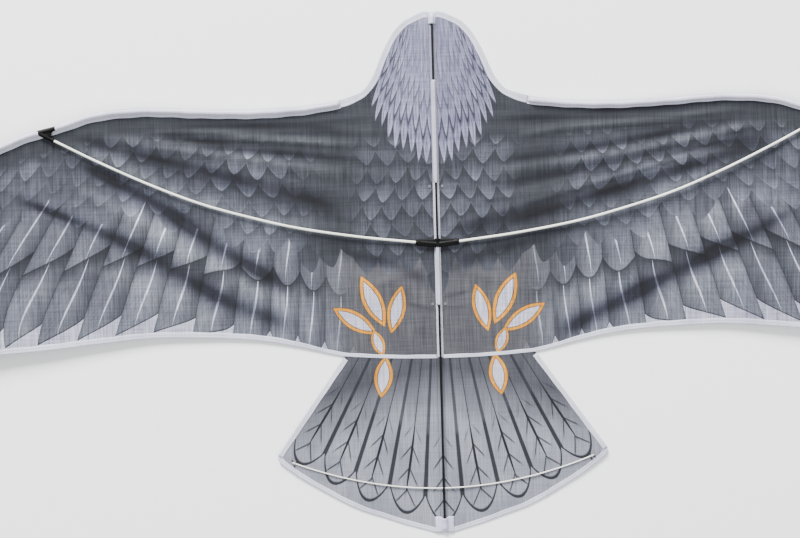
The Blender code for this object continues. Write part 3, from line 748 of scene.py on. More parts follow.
class PrintedCloth(WovenCloth):
    """Woven polyester with a dye print of feathers, so that the colour sits in the thread."""

    def layered(self, axes: Node, over: tuple, own: tuple) -> Feathers:
        """Lays each row's tips over the next row.

        Args:
            axes: Columns and rows.
            over: Place across, tip's reach and column of the feather from the row above.
            own: The same of the row's own feather.

        Returns:
            The pattern.
        """
        row = self.add("Math.FLOOR", axes.outputs[1])
        down = self.add("Math.FRACT", axes.outputs[1])
        covered = self.add("Math.LESS_THAN", down, over[1])
        own_end = self.add("Math.ADD", own[1], 1.0)
        bound = self.add("Mix", covered, own_end, over[1])
        owner = self.add("Math.SUBTRACT", row, covered)
        number = self.add("Mix", covered, own[2], over[2])
        below = self.add("Math.MULTIPLY_ADD", covered, 2.0, down)
        return Feathers(
            across=self.add("Mix", covered, own[0], over[0]),
            along=self.add("Math.ADD", down, covered),
            edge=self.add("Math.SUBTRACT", bound, down),
            under=self.add("Math.SUBTRACT", below, over[1]),
            owner=owner,
            number=number,
            chance=self.add("TexWhiteNoise", self.add("CombineXYZ", number, owner)),
        )

    def feathers(self, chart: str, depth: float, point: float) -> Feathers:
        """Lays staggered rows of overlapping feathers over a UV map of columns and rows.

        Args:
            chart: The UV map, one column and one row a unit.
            depth: How far a tip reaches over the next row.
            point: The tip's power: 2 is round, 1 is pointed.

        Returns:
            The pattern.
        """
        axes = self.add("SeparateXYZ", self.add("UVMap", uv_map=chart))
        row = self.add("Math.FLOOR", axes.outputs[1])
        halved = self.add("Math.MULTIPLY", row, 0.5)
        stagger = self.add("Math.FRACT", halved)
        column = self.add("Math.ADD", axes.outputs[0], stagger)
        found = []
        for shift, back in ((0.5, -2.0), (0.0, 0.0)):
            moved = self.add("Math.ADD", column, shift)
            whole = self.add("Math.FLOOR", moved)
            number = self.add("Math.MULTIPLY_ADD", stagger, back, whole)
            wrapped = self.add("Math.FRACT", moved)
            across = self.add("Math.SUBTRACT", wrapped, 0.5)
            double = self.add("Math.MULTIPLY", across, 2.0)
            size = self.add("Math.ABSOLUTE", double)
            power = self.add("Math.POWER", size, point)
            bound = self.add("Math.MULTIPLY_ADD", power, -depth, depth)
            found.append((across, bound, number))
        return self.layered(axes, *found)

    def blades(self, chart: str, depth: float, rounded: object) -> Feathers:
        """Lays rows of long feathers in line, with tips swept towards the outer side.

        Args:
            chart: The UV map, one column and one row a unit.
            depth: How far a tip reaches over the next row.
            rounded: 0 for swept tips, 1 for round ones.

        Returns:
            The pattern.
        """
        axes = self.add("SeparateXYZ", self.add("UVMap", uv_map=chart))
        number = self.add("Math.FLOOR", axes.outputs[0])
        outward = self.add("Math.FRACT", axes.outputs[0])
        swept = self.add("Math.POWER", outward, 0.8)
        swept = self.add("Math.MULTIPLY", swept, depth)
        across = self.add("Math.SUBTRACT", outward, 0.5)
        squared = self.add("Math.MULTIPLY", across, across)
        arch = self.add("Math.MULTIPLY_ADD", squared, -3.4 * depth, 0.85 * depth)
        feather = (across, self.add("Mix", rounded, swept, arch), number)
        return self.layered(axes, feather, feather)

    def shaft(self, plumage: Feathers, width: float, start: float, end: float,
              bend: float = 0.035) -> Node:
        """A fine quill down the middle of each feather, thin at both ends.

        Args:
            plumage: The pattern.
            width: Its greatest half width, in columns.
            start: Where it starts along the feather.
            end: Where it ends.
            bend: How far it sways to the side.

        Returns:
            1 on the quill, 0 beside it.
        """
        turn = self.add("MapRange", plumage.along, start, end, 0.0, math.pi)
        swell = self.add("Math.SINE", turn)
        half = self.add("Math.MULTIPLY", swell, width)
        wave = self.add("Math.MULTIPLY", plumage.along, 4.2)
        sway = self.add("Math.SINE", wave)
        offset = self.add("Math.MULTIPLY_ADD", sway, bend, plumage.across)
        size = self.add("Math.ABSOLUTE", offset)
        gap = self.add("Math.SUBTRACT", half, size)
        return self.add("MapRange", gap, -0.004, 0.008)

    def barbs(self, plumage: Feathers, low: float, high: float) -> Node:
        """Fine slanting strokes to both sides of the quill.

        Args:
            plumage: The pattern.
            low: The darkest stroke's brightness.
            high: The lightest stroke's brightness.

        Returns:
            The node that gives the brightness.
        """
        size = self.add("Math.ABSOLUTE", plumage.across)
        slant = self.add("Math.MULTIPLY_ADD", size, -1.1, plumage.along)
        lines = self.add("Math.MULTIPLY", slant, 34.0)
        loose = self.add("Math.MULTIPLY", plumage.across, 5.0)
        drawn = self.add("CombineXYZ", lines, loose, plumage.number)
        return self.add("MapRange", self.add("TexNoise", drawn, 1.0, 1.0), 0.3, 0.7, low, high)

    def drops(self, base: object, places: Sequence[tuple[float, ...]]) -> Node:
        """Prints ochre lens-shaped feathers with pale hearts over a colour.

        Args:
            base: The colour underneath.
            places: For each, its centre, turn in degrees, half length and half width.

        Returns:
            The colour's node.
        """
        place = self.add("SeparateXYZ", self.add("TexCoord").outputs["Object"])
        across = self.add("Math.ABSOLUTE", place.outputs[0])
        folded = self.add("CombineXYZ", across, place.outputs[1])
        fleck = self.add("TexNoise", self.add("TexCoord").outputs["Object"], 160.0, 2.0)
        ochre = self.add("Mix.RGBA", fleck, linear("#a9690f"), linear("#c8892a"))
        colour = base
        for x, y, turn, half_length, half_width in places:
            local = self.add("Mapping", folded, (x, y, 0.0), (0.0, 0.0, math.radians(turn)),
                             (half_width, half_length, 1.0), vector_type="TEXTURE")
            axes = self.add("SeparateXYZ", local)
            size = self.add("Math.ABSOLUTE", axes.outputs[0])
            squared = self.add("Math.POWER", axes.outputs[1], 2.0)
            lens = self.add("Math.ADD", size, squared)
            for limit, shade in ((1.1, linear("#4a3f30")), (1.0, ochre),
                                 (0.68, linear("#30271b")), (0.60, linear("#a5a4b4"))):
                inside = self.add("Math.LESS_THAN", lens, limit)
                colour = self.add("Mix.RGBA", inside, colour, shade)
        return colour


class WingPrint(PrintedCloth):
    """The wing's dyed plumage: dark scales, quilled flight feathers and a pale crown."""

    # Woven, then printed with dye: yarn takes dye unevenly, so that each tone is streaked
    # along the threads, and the cloth is matt with a faint grid of crossed yarn

    def coverts(self, plumage: Feathers, show: object, arm: object, rows: object) -> Node:
        """Colours the small overlapping feathers.

        Args:
            plumage: Their pattern.
            show: How far they stand out from the dark ground.
            arm: How far the place belongs to the wing's arm.
            rows: The column's last row, towards which the arm's feathers grow paler.

        Returns:
            The colour's node.
        """
        lit = self.add("MapRange", plumage.along, 0.45, 1.7, 0.0, 0.95)
        squared = self.add("Math.MULTIPLY", plumage.across, plumage.across)
        crown = self.add("MapRange", squared, 0.0, 0.25, 1.0, 0.45)
        near = self.add("MapRange", plumage.under, 0.0, 0.5, 0.15, 1.0)
        own = self.add("MapRange", plumage.chance, 0.0, 1.0, 0.4, 1.1)
        tone = lit
        for factor in (crown, near, own, self.barbs(plumage, 0.8, 1.2)):
            tone = self.add("Math.MULTIPLY", tone, factor)
        rim = self.add("MapRange", plumage.edge, 0.05, 0.13, 0.3, 0.0)
        tone = self.add("Math.ADD", tone, rim)
        quill = self.shaft(plumage, 0.022, 0.5, 1.5)
        tone = self.add("Math.MULTIPLY_ADD", quill, 0.18, tone)
        line = self.add("MapRange", plumage.edge, 0.0, 0.05, 0.2, 1.0)
        tone = self.add("Math.MULTIPLY", tone, line)
        left = self.add("Math.SUBTRACT", rows, plumage.owner)
        pale = self.add("MapRange", left, 0.0, 2.6, 0.40, 0.0)
        tone = self.add("Math.MULTIPLY_ADD", pale, arm, tone)
        tone = self.add("Math.MULTIPLY", tone, show)
        return self.add("Mix.RGBA", tone, linear("#282a30"), linear("#616471"))

    def flight(self, plumage: Feathers) -> Node:
        """Colours the long flight feathers and the pale cloth between their tips.

        Args:
            plumage: Their pattern.

        Returns:
            The colour's node.
        """
        root = self.add("MapRange", plumage.along, 0.1, 0.6, 0.35, 1.0)
        tucked = self.add("MapRange", plumage.across, -0.5, -0.05, 0.35, 1.0)
        front = self.add("MapRange", plumage.across, 0.40, 0.5, 1.0, 0.6)
        near = self.add("MapRange", plumage.under, 0.0, 0.2, 0.3, 1.0)
        own = self.add("MapRange", plumage.chance, 0.0, 1.0, 0.6, 1.0)
        row = self.add("MapRange", plumage.owner, 0.0, 1.0, 0.78, 1.0)
        tone = root
        for factor in (tucked, front, near, own, row, self.barbs(plumage, 0.78, 1.2)):
            tone = self.add("Math.MULTIPLY", tone, factor)
        vane = self.add("Mix.RGBA", tone, linear("#14161c"), linear("#666974"))
        quill = self.shaft(plumage, 0.030, 0.14, 1.2, 0.05)
        vane = self.add("Mix.RGBA", quill, vane, linear("#a3a5b5"))
        tip = self.add("MapRange", plumage.edge, 0.012, 0.03, 0.9, 0.0)
        inner = self.add("MapRange", plumage.across, -0.5, -0.465, 0.7, 0.0)
        line = self.add("Math.MAXIMUM", tip, inner)
        vane = self.add("Mix.RGBA", line, vane, linear("#121319"))
        beyond = self.add("Math.GREATER_THAN", plumage.owner, 1.5)
        return self.add("Mix.RGBA", beyond, vane, linear("#9797a7"))

    def crown(self, plumage: Feathers) -> Node:
        """Colours the head's pale locks, drawn darker at their tips and at the sides.

        Args:
            plumage: Their pattern.

        Returns:
            The colour's node.
        """
        glow = self.add("MapRange", plumage.along, 0.4, 1.9)
        ground = self.add("Mix.RGBA", glow, linear("#6d6d83"), linear("#84849c"))
        lower = self.add("MapRange", plumage.owner, 0.4, 3.2, 0.12, 1.0)
        side = self.add("MapRange", plumage.number, 3.5, 7.5, 0.0, 0.9)
        shown = self.add("Math.MAXIMUM", lower, side)
        line = self.add("MapRange", plumage.edge, 0.04, 0.12, 0.8, 0.0)
        below = self.add("MapRange", plumage.under, 0.08, 0.50, 1.0, 0.0)
        quill = self.add("Math.MULTIPLY", self.shaft(plumage, 0.06, 0.6, 1.6, 0.08), 0.6)
        drawn = self.add("Math.MAXIMUM", line, quill)
        drawn = self.add("Math.MAXIMUM", drawn, below)
        drawn = self.add("Math.MULTIPLY", drawn, shown)
        return self.add("Mix.RGBA", drawn, ground, linear("#20222b"))

    def make(self) -> Material:
        """Puts the whole print together.

        Returns:
            The material.
        """
        zones = self.add("SeparateXYZ", self.add("UVMap", uv_map="zones"))
        shade = self.add("SeparateXYZ", self.add("UVMap", uv_map="shade"))
        scales = self.feathers("coverts", 0.8, 1.6)
        blades = self.blades("quills", 0.31, shade.outputs[1])
        plain = self.add("Mix.RGBA", zones.outputs[1], linear("#434348"), self.flight(blades))
        last = self.add("Math.MULTIPLY_ADD", scales.number, -0.3176, 9.05)
        last = self.add("Math.MAXIMUM", last, 0.6)
        small = self.coverts(scales, zones.outputs[0], zones.outputs[1], last)
        past = self.add("Math.GREATER_THAN", scales.owner, last)
        wings = self.add("Mix.RGBA", past, small, plain)
        locks = self.feathers("hackles", 0.75, 1.4)
        inside = self.add("Math.LESS_THAN", locks.owner, 3.5)
        colour = self.add("Mix.RGBA", inside, wings, self.crown(locks))
        colour = self.drops(colour, WING_DROPS)
        # The shade map's brightness is painted light and shade from the folds, the spreader's
        # shadow and a crease
        return self.finish(self.shaded(colour, (0.63, 1.37), shade.outputs[0]),
                           self.weave(), 0.25)


class TailPrint(PrintedCloth):
    """The tail's dyed plumage: pale rounded feathers drawn with dark lines."""

    # The same woven and printed polyester with less dye, so its streaks are fainter and
    # the white yarn shines through

    def make(self) -> Material:
        """Puts the whole print together.

        Returns:
            The material.
        """
        fan = self.blades("fan", 0.30, 1.0)
        place = self.add("SeparateXYZ", self.add("TexCoord").outputs["Object"])
        size = self.add("Math.ABSOLUTE", place.outputs[0])
        arch = self.add("Math.MULTIPLY_ADD", size, 0.25, place.outputs[1])
        root = self.add("MapRange", arch, -0.165, -0.105)
        bright = self.add("MapRange", fan.chance, 0.0, 1.0, 0.0, 0.35)
        light = self.add("Mix.RGBA", bright, linear("#7c7e88"), linear("#676974"))
        ground = self.add("Mix.RGBA", root, light, linear("#3b3c43"))
        vane = self.add("Math.ABSOLUTE", fan.across)
        rib = self.add("Math.MULTIPLY_ADD", vane, -0.62, fan.along)
        turns = self.add("Math.MULTIPLY", rib, 4.1)
        beat = self.add("Math.FRACT", turns)
        bar = self.add("MapRange", beat, 0.09, 0.17, 1.0, 0.0)
        reach = self.add("MapRange", vane, 0.22, 0.33, 1.0, 0.0)
        late = self.add("MapRange", fan.along, 0.25, 0.45, 0.0, 0.85)
        bars = self.add("Math.MULTIPLY", bar, reach)
        bars = self.add("Math.MULTIPLY", bars, late)
        side = self.add("MapRange", vane, 0.424, 0.452)
        tip = self.add("MapRange", fan.edge, 0.030, 0.046, 1.0, 0.0)
        line = self.add("Math.MAXIMUM", side, tip)
        begun = self.add("MapRange", fan.along, 0.0, 0.35, 0.15, 0.95)
        drawn = self.add("Math.MULTIPLY", line, begun)
        drawn = self.add("Math.MAXIMUM", drawn, bars)
        quill = self.shaft(fan, 0.042, 0.15, 1.1, 0.02)
        drawn = self.add("Math.MAXIMUM", drawn, quill)
        own = self.add("Math.LESS_THAN", fan.owner, 0.5)
        drawn = self.add("Math.MULTIPLY", own, drawn)
        colour = self.add("Mix.RGBA", drawn, ground, linear("#14151a"))
        colour = self.drops(colour, TAIL_DROPS)
        return self.finish(self.shaded(colour, (0.80, 1.20)), self.weave(), 0.25)


@dataclass(frozen=True)
class HemCloth:
    """Bleached polyester folded and sewn flat: soft, faintly lilac, with a dip and painted shade
    at each seam and painted shade along the folded edge.
    """

    # Folded double and left white, the cloth looks denser and brighter than the print, with
    # painted shade along each line where the stitches pull it in, and along its folded outer
    # edge

    name: str = "folded_polyester_hem"
    tint: str = "#c3c3d2"
    dyed_from: float = 1.0
    seams: tuple[float, ...] = (0.16, 0.84)
    seam_width: float = 0.07

    def make(self) -> Material:
        """Makes the material over a UV map that runs across the band's section.

        Returns:
            The material.
        """
        made = WovenCloth(self.name, 0.7, Sheen_Weight=0.35)
        axes = made.add("SeparateXYZ", made.add("UVMap", uv_map="strip"))
        # Painted shade, with a dip in the bump, along each of the given lines across the band
        seams = 0.0
        for place in self.seams:
            away = made.add("Math.SUBTRACT", axes.outputs[1], place)
            away = made.add("Math.ABSOLUTE", away)
            dip = made.add("MapRange", away, 0.0, self.seam_width, 1.0, 0.0)
            seams = made.add("Math.MAXIMUM", dip, seams)
        # Painted shade along the folded outer edge
        turned = made.add("MapRange", axes.outputs[0], 0.0, 0.13, 0.8, 0.0)
        faint = made.add("Math.MULTIPLY_ADD", seams, 0.5, turned)
        # The grey that the painted shade mixes in
        colour = made.add("Mix.RGBA", faint, linear(self.tint), linear("#9494a6"))
        place = made.add("SeparateXYZ", made.add("TexCoord").outputs["Object"])
        dyed = made.add("MapRange", place.outputs[1], self.dyed_from, self.dyed_from + 0.001)
        colour = made.add("Mix.RGBA", dyed, colour, linear("#85859a"))
        height = made.add("Math.MULTIPLY_ADD", seams, -3.0, made.weave())
        return made.finish(made.shaded(colour, (0.92, 1.06)), height, 0.2)


@dataclass(frozen=True)
class Webbing:
    """Polyester webbing, woven thick: ribbed and matt, with a lilac cast."""

    # Thick weft yarn leaves cross ribs 1.4 mm apart, each with its own fine line of shade

    rib: float = 0.0014

    def make(self) -> Material:
        """Makes the material.

        Returns:
            The material.
        """
        made = WovenCloth("woven_polyester_webbing", 0.75, Sheen_Weight=0.3)
        place = made.add("SeparateXYZ", made.add("TexCoord").outputs["Object"])
        turns = made.add("Math.MULTIPLY", place.outputs[1], math.tau / self.rib)
        ribs = made.add("Math.SINE", turns)
        shade = made.add("MapRange", ribs, -1.0, 1.0, 0.14, 0.0)
        colour = made.add("Mix.RGBA", shade, linear("#b8b7cd"), linear("#85849a"))
        return made.finish(made.shaded(colour, (0.94, 1.06)), ribs, 0.12)


@dataclass(frozen=True)
class PlainFinish:
    """A drawn, moulded or spun finish: one colour with a fine grain and uneven gloss."""

    name: str
    light: str
    dark: str
    roughness: float
    grain: float
    strength: float
    ior: float = 1.5
    specular: float = 0.5

    def make(self) -> Material:
        """Makes the material.

        Returns:
            The material.
        """
        made = Finish(self.name, self.roughness, IOR=self.ior, Specular_IOR_Level=self.specular)
        place = made.add("TexCoord").outputs["Object"]
        speck = made.add("TexNoise", place, 1 / self.grain, 4.0)
        broad = made.add("TexNoise", place, 0.06 / self.grain, 2.0)
        share = made.add("MapRange", broad, 0.35, 0.65)
        colour = made.add("Mix.RGBA", share, linear(self.dark), linear(self.light))
        rough = made.add("MapRange", speck, 0.3, 0.7, self.roughness - 0.08,
                         self.roughness + 0.08)
        return made.finish(colour, speck, self.strength, rough)


@dataclass(frozen=True)
class Finishes:
    """Every finish of the kite."""

    wing: Material
    tail: Material
    hem: Material
    tape: Material
    binding: Material
    webbing: Material
    white_rod: Material
    black_rod: Material
    soft_vinyl: Material
    thread: Material
    elastic: Material
    knot: Material
    eyelet: Material

    @classmethod
    def make(cls) -> "Finishes":
        """Builds every material once.

        Returns:
            All of them.
        """
        # Glass fibre and resin drawn through a die: a smooth satin skin with one long soft
        # highlight, a little greenish when white, and deeper and duller when black.
        # Soft vinyl from a mould: near black, with a broad dim shine and rounded corners.
        # Spun polyester thread, braided elastic and braided cord: rough yarn that scatters
        # light, so they stay matt from every side.
        # Moulded nylon: smooth and greyed like the cloth's print, with a small highlight.
        plain = {
            "white_rod": PlainFinish("drawn_fibreglass_white", "#f0f3e6", "#e2e5d6", 0.34,
                                     0.0011, 0.10, 1.52),
            "black_rod": PlainFinish("drawn_fibreglass_black", "#08080a", "#050506", 0.5,
                                     0.0011, 0.12, 1.45, 0.2),
            "soft_vinyl": PlainFinish("moulded_soft_vinyl", "#050505", "#030303", 0.5,
                                      0.0008, 0.2, 1.5, 0.12),
            "thread": PlainFinish("spun_polyester_thread", "#c3c2d2", "#a9a8bb", 0.8,
                                  0.0004, 0.3),
            "elastic": PlainFinish("braided_elastic", "#c7c8cc", "#a9aab0", 0.8, 0.0004, 0.4),
            "knot": PlainFinish("braided_black_cord", "#1c1c20", "#101013", 0.8, 0.0004, 0.4),
            "eyelet": PlainFinish("moulded_nylon_white", "#74747d", "#67676f", 0.5, 0.0008,
                                  0.1, 1.53),
        }
        return cls(
            wing=WingPrint("printed_woven_polyester_plumage", 0.7, Sheen_Weight=0.04,
                           Specular_IOR_Level=0.2).make(),
            tail=TailPrint("printed_woven_polyester_tail", 0.7, Sheen_Weight=0.04,
                           Specular_IOR_Level=0.2).make(),
            hem=HemCloth().make(),
            # The spine sleeves' middle line is painted shade with a dip, where they arch over
            # the spine
            tape=HemCloth("folded_polyester_tape", "#aeaebd", seams=(0.5,),
                          seam_width=0.3).make(),
            binding=HemCloth("folded_printed_polyester_tape", "#bdbdcc", 0.104).make(),
            webbing=Webbing().make(),
            **{key: finish.make() for key, finish in plain.items()},
        )


def mesh_piece(name: str, shape: BMesh, material: Material, smooth: float = 40.0) -> Piece:
    """Makes an object at the origin from a bmesh and frees the bmesh.

    Args:
        name: The piece's name.
        shape: Its shape in the kite's own frame.
        material: Its finish.
        smooth: The angle in degrees past which an edge stays sharp.

    Returns:
        The object.
    """
    data = bpy.data.meshes.new(name)
    shape.to_mesh(data)
    shape.free()
    data.shade_smooth()
    data.set_sharp_from_angle(angle=math.radians(smooth))
    data.materials.append(material)
    made = bpy.data.objects.new(name, data)
    bpy.context.scene.collection.objects.link(made)
    return made


def settle(piece: Piece, body: str, slot: str, *nodes: str) -> Piece:
    """Puts a piece on its body and hides the solids that it stands for.

    Args:
        piece: The piece, in place.
        body: The body that it rides on.
        slot: Not used.
        nodes: The solids that it stands for.

    Returns:
        The piece.
    """
    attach(piece, body)
    if nodes:
        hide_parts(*nodes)
    log.info("%s rides on %s", piece.name, body)
    return piece


def settle_bent(piece: Piece, bodies: tuple[str, str], start: Sequence[float],
                end: Sequence[float], slot: str, *nodes: str) -> Piece:
    """Bakes a piece's place into its mesh, hides the solids that it stands for and logs the
    bodies at its two ends.

    Args:
        piece: The piece, in place.
        bodies: The body at its start and the one at its end.
        start: Not used.
        end: Not used.
        slot: Not used.
        nodes: The solids that it stands for.

    Returns:
        The piece.
    """
    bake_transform(piece)
    if nodes:
        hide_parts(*nodes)
    log.info("%s bends between %s and %s", piece.name, *bodies)
    return piece


def sheet_piece(name: str, counts: tuple[int, int], place: Place,
                charts: dict[str, Chart], material: Material, thickness: float,
                flip: bool) -> Piece:
    """Lays a fine grid over a surface and gives it the cloth's thickness.

    Args:
        name: The piece's name.
        counts: Segments along u and along v.
        place: Gives the points at u and v, each from 0 to 1.
        charts: Each UV map's name and the function of u, v and points that fills it.
        material: The finish.
        thickness: The cloth's thickness, half to each side.
        flip: Whether the faces are turned over, so that they look up.

    Returns:
        The object.
    """
    shape = bmesh.new()
    bmesh.ops.create_grid(shape, x_segments=counts[0], y_segments=counts[1], size=0.5)
    if flip:
        bmesh.ops.reverse_faces(shape, faces=shape.faces[:])
    made = mesh_piece(name, shape, material, 180.0)
    data = made.data
    flat = np.empty(len(data.vertices) * 3)
    data.vertices.foreach_get("co", flat)
    flat = flat.reshape(-1, 3)
    low, high = flat.min(0), flat.max(0)
    u, v = ((flat[:, k] - low[k]) / (high[k] - low[k]) for k in (0, 1))
    points = place(u, v)
    data.vertices.foreach_set("co", points.astype(np.float32).ravel())
    corners = np.empty(len(data.loops), np.int32)
    data.loops.foreach_get("vertex_index", corners)
    for label, chart in charts.items():
        layer = data.uv_layers.new(name=label)
        layer.data.foreach_set("uv", chart(u, v, points)[corners].astype(np.float32).ravel())
    data.update()
    wall = made.modifiers.new("thickness", "SOLIDIFY")
    wall.thickness = thickness
    wall.offset = 0.0
    return made


def over_plan(plan: Place) -> Chart:
    """A UV map of places across, without sign, and along the kite as one for a sheet."""
    return lambda _u, _v, points: plan(np.abs(points[:, 0]), points[:, 1])


def ring_frame(point: Vector, way: Vector) -> Matrix:
    """Stands a rod's section up across its path.

    Args:
        point: The section's middle.
        way: The path's direction there.

    Returns:
        The section's place and turn.
    """
    side = way.cross(Vector((0.0, 0.0, 1.0)))
    side = side.normalized() if side.length > 1e-6 else Vector((1.0, 0.0, 0.0))
    up = side.cross(way).normalized()
    turn = Matrix((side, up, -way)).transposed().to_4x4()
    return Matrix.Translation(point) @ turn


def rod_shape(path: Array, radii: float | Sequence[float], sides: int = 20,
              end_round: float = 0.0003) -> BMesh:
    """Extrudes a circle along a path and closes both ends.

    Args:
        path: The axis, one point a row.
        radii: One radius, or one for each point.
        sides: The section's sides.
        end_round: The width of the rounding at each end.

    Returns:
        The rod's bmesh.
    """
    points = [Vector(p) for p in path]
    sizes = [radii] * len(points) if isinstance(radii, float) else list(radii)
    shape = bmesh.new()
    frames = []
    for k, point in enumerate(points):
        way = points[min(k + 1, len(points) - 1)] - points[max(k - 1, 0)]
        frames.append(ring_frame(point, way.normalized()) @ Matrix.Scale(sizes[k], 4))
    bmesh.ops.create_circle(shape, cap_ends=False, segments=sides, radius=1.0, matrix=frames[0])
    loop = shape.edges[:]
    ends = [loop]
    for near, far in zip(frames, frames[1:]):
        grown = bmesh.ops.extrude_edge_only(shape, edges=loop)["geom"]
        ring = [part for part in grown if isinstance(part, bmesh.types.BMVert)]
        loop = [part for part in grown if isinstance(part, bmesh.types.BMEdge)
                and all(v in set(ring) for v in part.verts)]
        bmesh.ops.transform(shape, matrix=far @ near.inverted(), verts=ring)
    ends.append(loop)
    for edges in ends:
        bmesh.ops.edgeloop_fill(shape, edges=edges)
    bmesh.ops.recalc_face_normals(shape, faces=shape.faces)
    if end_round:
        rims = [edge for edges in ends for edge in edges if edge.is_valid]
        bmesh.ops.bevel(shape, geom=rims, offset=end_round, segments=2, profile=0.5,
                        affect="EDGES", material=-1)
    return shape


def mirrored(path: Array, side: Side) -> Array:
    """A right-hand path, or its mirror image for the left side."""
    return path * np.array([side.value, 1.0, 1.0])


def merge(target: BMesh, part: BMesh) -> None:
    """Adds one bmesh to another and frees it.

    Args:
        target: The bmesh that grows.
        part: The one that is added.
    """
    data = bpy.data.meshes.new("part")
    part.to_mesh(data)
    part.free()
    target.from_mesh(data)
    bpy.data.meshes.remove(data)


def moulded(name: str, parts: Sequence[BMesh], bores: Sequence[BMesh], rounds: int,
            material: Material) -> Piece:
    """Fuses closed shapes into one soft moulding and bores it.

    Args:
        name: The piece's name.
        parts: The shapes to fuse.
        bores: The shapes to cut out afterwards.
        rounds: How often the surface is smoothed.
        material: The finish.

    Returns:
        The object.
    """
    whole = bmesh.new()
    for part in parts:
        merge(whole, part)
    rough = mesh_piece(name + "_rough", whole, material)
    fuse = rough.modifiers.new("fuse", "REMESH")
    fuse.mode = "VOXEL"
    fuse.voxel_size = VOXEL
    soften = rough.modifiers.new("soften", "SMOOTH")
    soften.iterations = rounds
    tools = []
    for k, bore in enumerate(bores):
        tool = mesh_piece(f"{name}_bore_{k}", bore, material)
        cut = rough.modifiers.new(f"bore_{k}", "BOOLEAN")
        cut.operation = "DIFFERENCE"
        cut.object = tool
        tools.append(tool)
    bpy.context.view_layer.update()
    graph = bpy.context.evaluated_depsgraph_get()
    shape = bmesh.new()
    shape.from_mesh(bpy.data.meshes.new_from_object(rough.evaluated_get(graph)))
    for old in [rough, *tools]:
        bpy.data.objects.remove(old, do_unlink=True)
    return mesh_piece(name, shape, material, 50.0)


@dataclass
class Strip:
    """A folded band of cloth that follows an edge, seen from above."""

    edge: Array
    section: Array
    side: Side
    tail: bool = False
    lead_in: float = 0.0
    start_share: float = 1.0
    lead_out: tuple[float, float] = (0.0, 0.0)
    end_share: float = 1.0
    slant_start: float = 0.0
    slant_end: float = 0.0
    shut: float = 0.0
    point_pitch: float = 0.003
    stitch_pitch: float = 0.0032
    steps: Array = field(init=False, repr=False)
    length: Array = field(init=False, repr=False)

    def __post_init__(self) -> None:
        """Works out the steps inwards and the length along the edge."""
        self.steps = offset_steps(self.edge)
        self.length = np.concatenate(
            [[0.0], np.cumsum(np.linalg.norm(np.diff(self.edge, axis=0), axis=1))]
        )

    def at(self, along: Array, inward: Array, height: Array) -> Array:
        """Gives points over the cloth.

        Args:
            along: Length along the edge.
            inward: Distance in from the edge.
            height: Height over the middle of the cloth.

        Returns:
            The points, mirrored for the left side.
        """
        x, y = (np.interp(along, self.length, self.edge[:, k]) for k in (0, 1))
        step = [np.interp(along, self.length, self.steps[:, k]) for k in (0, 1)]
        x, y = x + step[0] * inward, y + step[1] * inward
        if self.tail:
            z = tail_z(x, y, self.side)
        else:
            z = WingPlaces(self.side, x, y).z()
        return np.column_stack([x * self.side.value, y, z + height])

    def spread(self, along: Array) -> Array:
        """Narrows or widens the band towards its ends.

        Args:
            along: Lengths along the edge.

        Returns:
            The share of the band's full width at each length.
        """
        share = np.ones_like(along)
        if self.lead_in:
            share = self.start_share + (1 - self.start_share) * ease(0.0, self.lead_in, along)
        if self.end_share != 1.0:
            left = self.length[-1] - along
            share = share + (self.end_share - 1) * (1 - ease(*self.lead_out, left))
        return share

    def place(self, u: Array, v: Array) -> Array:
        """Lays the band.

        Args:
            u: Shares of the way along it.
            v: Shares of the way across its section.

        Returns:
            Its points.
        """
        cut = smooth_line(self.section, v * (len(self.section) - 1))
        along = u * self.length[-1]
        over = 1 - ease(0.35, 0.9, cut[:, 0] / self.section[:, 0].max())
        left = self.length[-1] - along
        along = along + over * self.slant_start * (1 - ease(0.0, 0.03, along))
        along = along - over * self.slant_end * (1 - ease(0.0, 0.03, left))
        if self.lead_in or self.shut:
            flat = np.clip(cut[:, 1], -0.001, 0.0003 + 0.0002 * np.sin(v * 3.1))
            full = ease(0.0, 0.0045, along) if self.lead_in else ease(0.0, self.shut, left)
            cut[:, 1] = flat + (cut[:, 1] - flat) * full
        cut[:, 0] *= self.spread(along)
        wander = 1.0 + 0.03 * np.sin(along * 190) + 0.02 * np.sin(along * 71 + 1.0)
        pucker = 0.00006 * np.sin(along * math.tau / 0.006) * np.sign(cut[:, 1])
        return self.at(along, cut[:, 0] * wander, cut[:, 1] + pucker)

    def chart(self, _u: Array, v: Array, _points: Array) -> Array:
        """Columns as the share in from the edge, rows as the share across the section."""
        cut = smooth_line(self.section, v * (len(self.section) - 1))
        return np.column_stack([cut[:, 0] / self.section[:, 0].max(), v])

    def build(self, name: str, material: Material, thickness: float) -> Piece:
        """Makes the band.

        Args:
            name: The piece's name.
            material: Its finish.
            thickness: The cloth's thickness.

        Returns:
            The object.
        """
        along = max(8, round(self.length[-1] / self.point_pitch))
        counts = (along, 3 * (len(self.section) - 1))
        flip = self.side is Side.RIGHT
        return sheet_piece(name, counts, self.place, {"strip": self.chart}, material,
                           thickness, flip)

    def stitches(self, name: str, rows: Sequence[float], height: float,
                 material: Material) -> Piece:
        """Sews rows of small raised stitches along the band.

        Args:
            name: The piece's name.
            rows: Each row's distance in from the edge.
            height: The height of the stitches over the middle of the cloth.
            material: The thread's finish.

        Returns:
            The object.
        """
        shape = bmesh.new()
        count = int(self.length[-1] / self.stitch_pitch)
        along = (np.arange(count) + 0.5) * self.stitch_pitch
        for row in rows:
            inward, level = row * self.spread(along), np.full(count, height)
            middles = self.at(along, inward, level)
            ahead = self.at(along + 0.0005, inward, level)
            for middle, front in zip(middles, ahead):
                add_stitch(shape, Vector(middle), Vector(front - middle))
        return mesh_piece(name, shape, material)


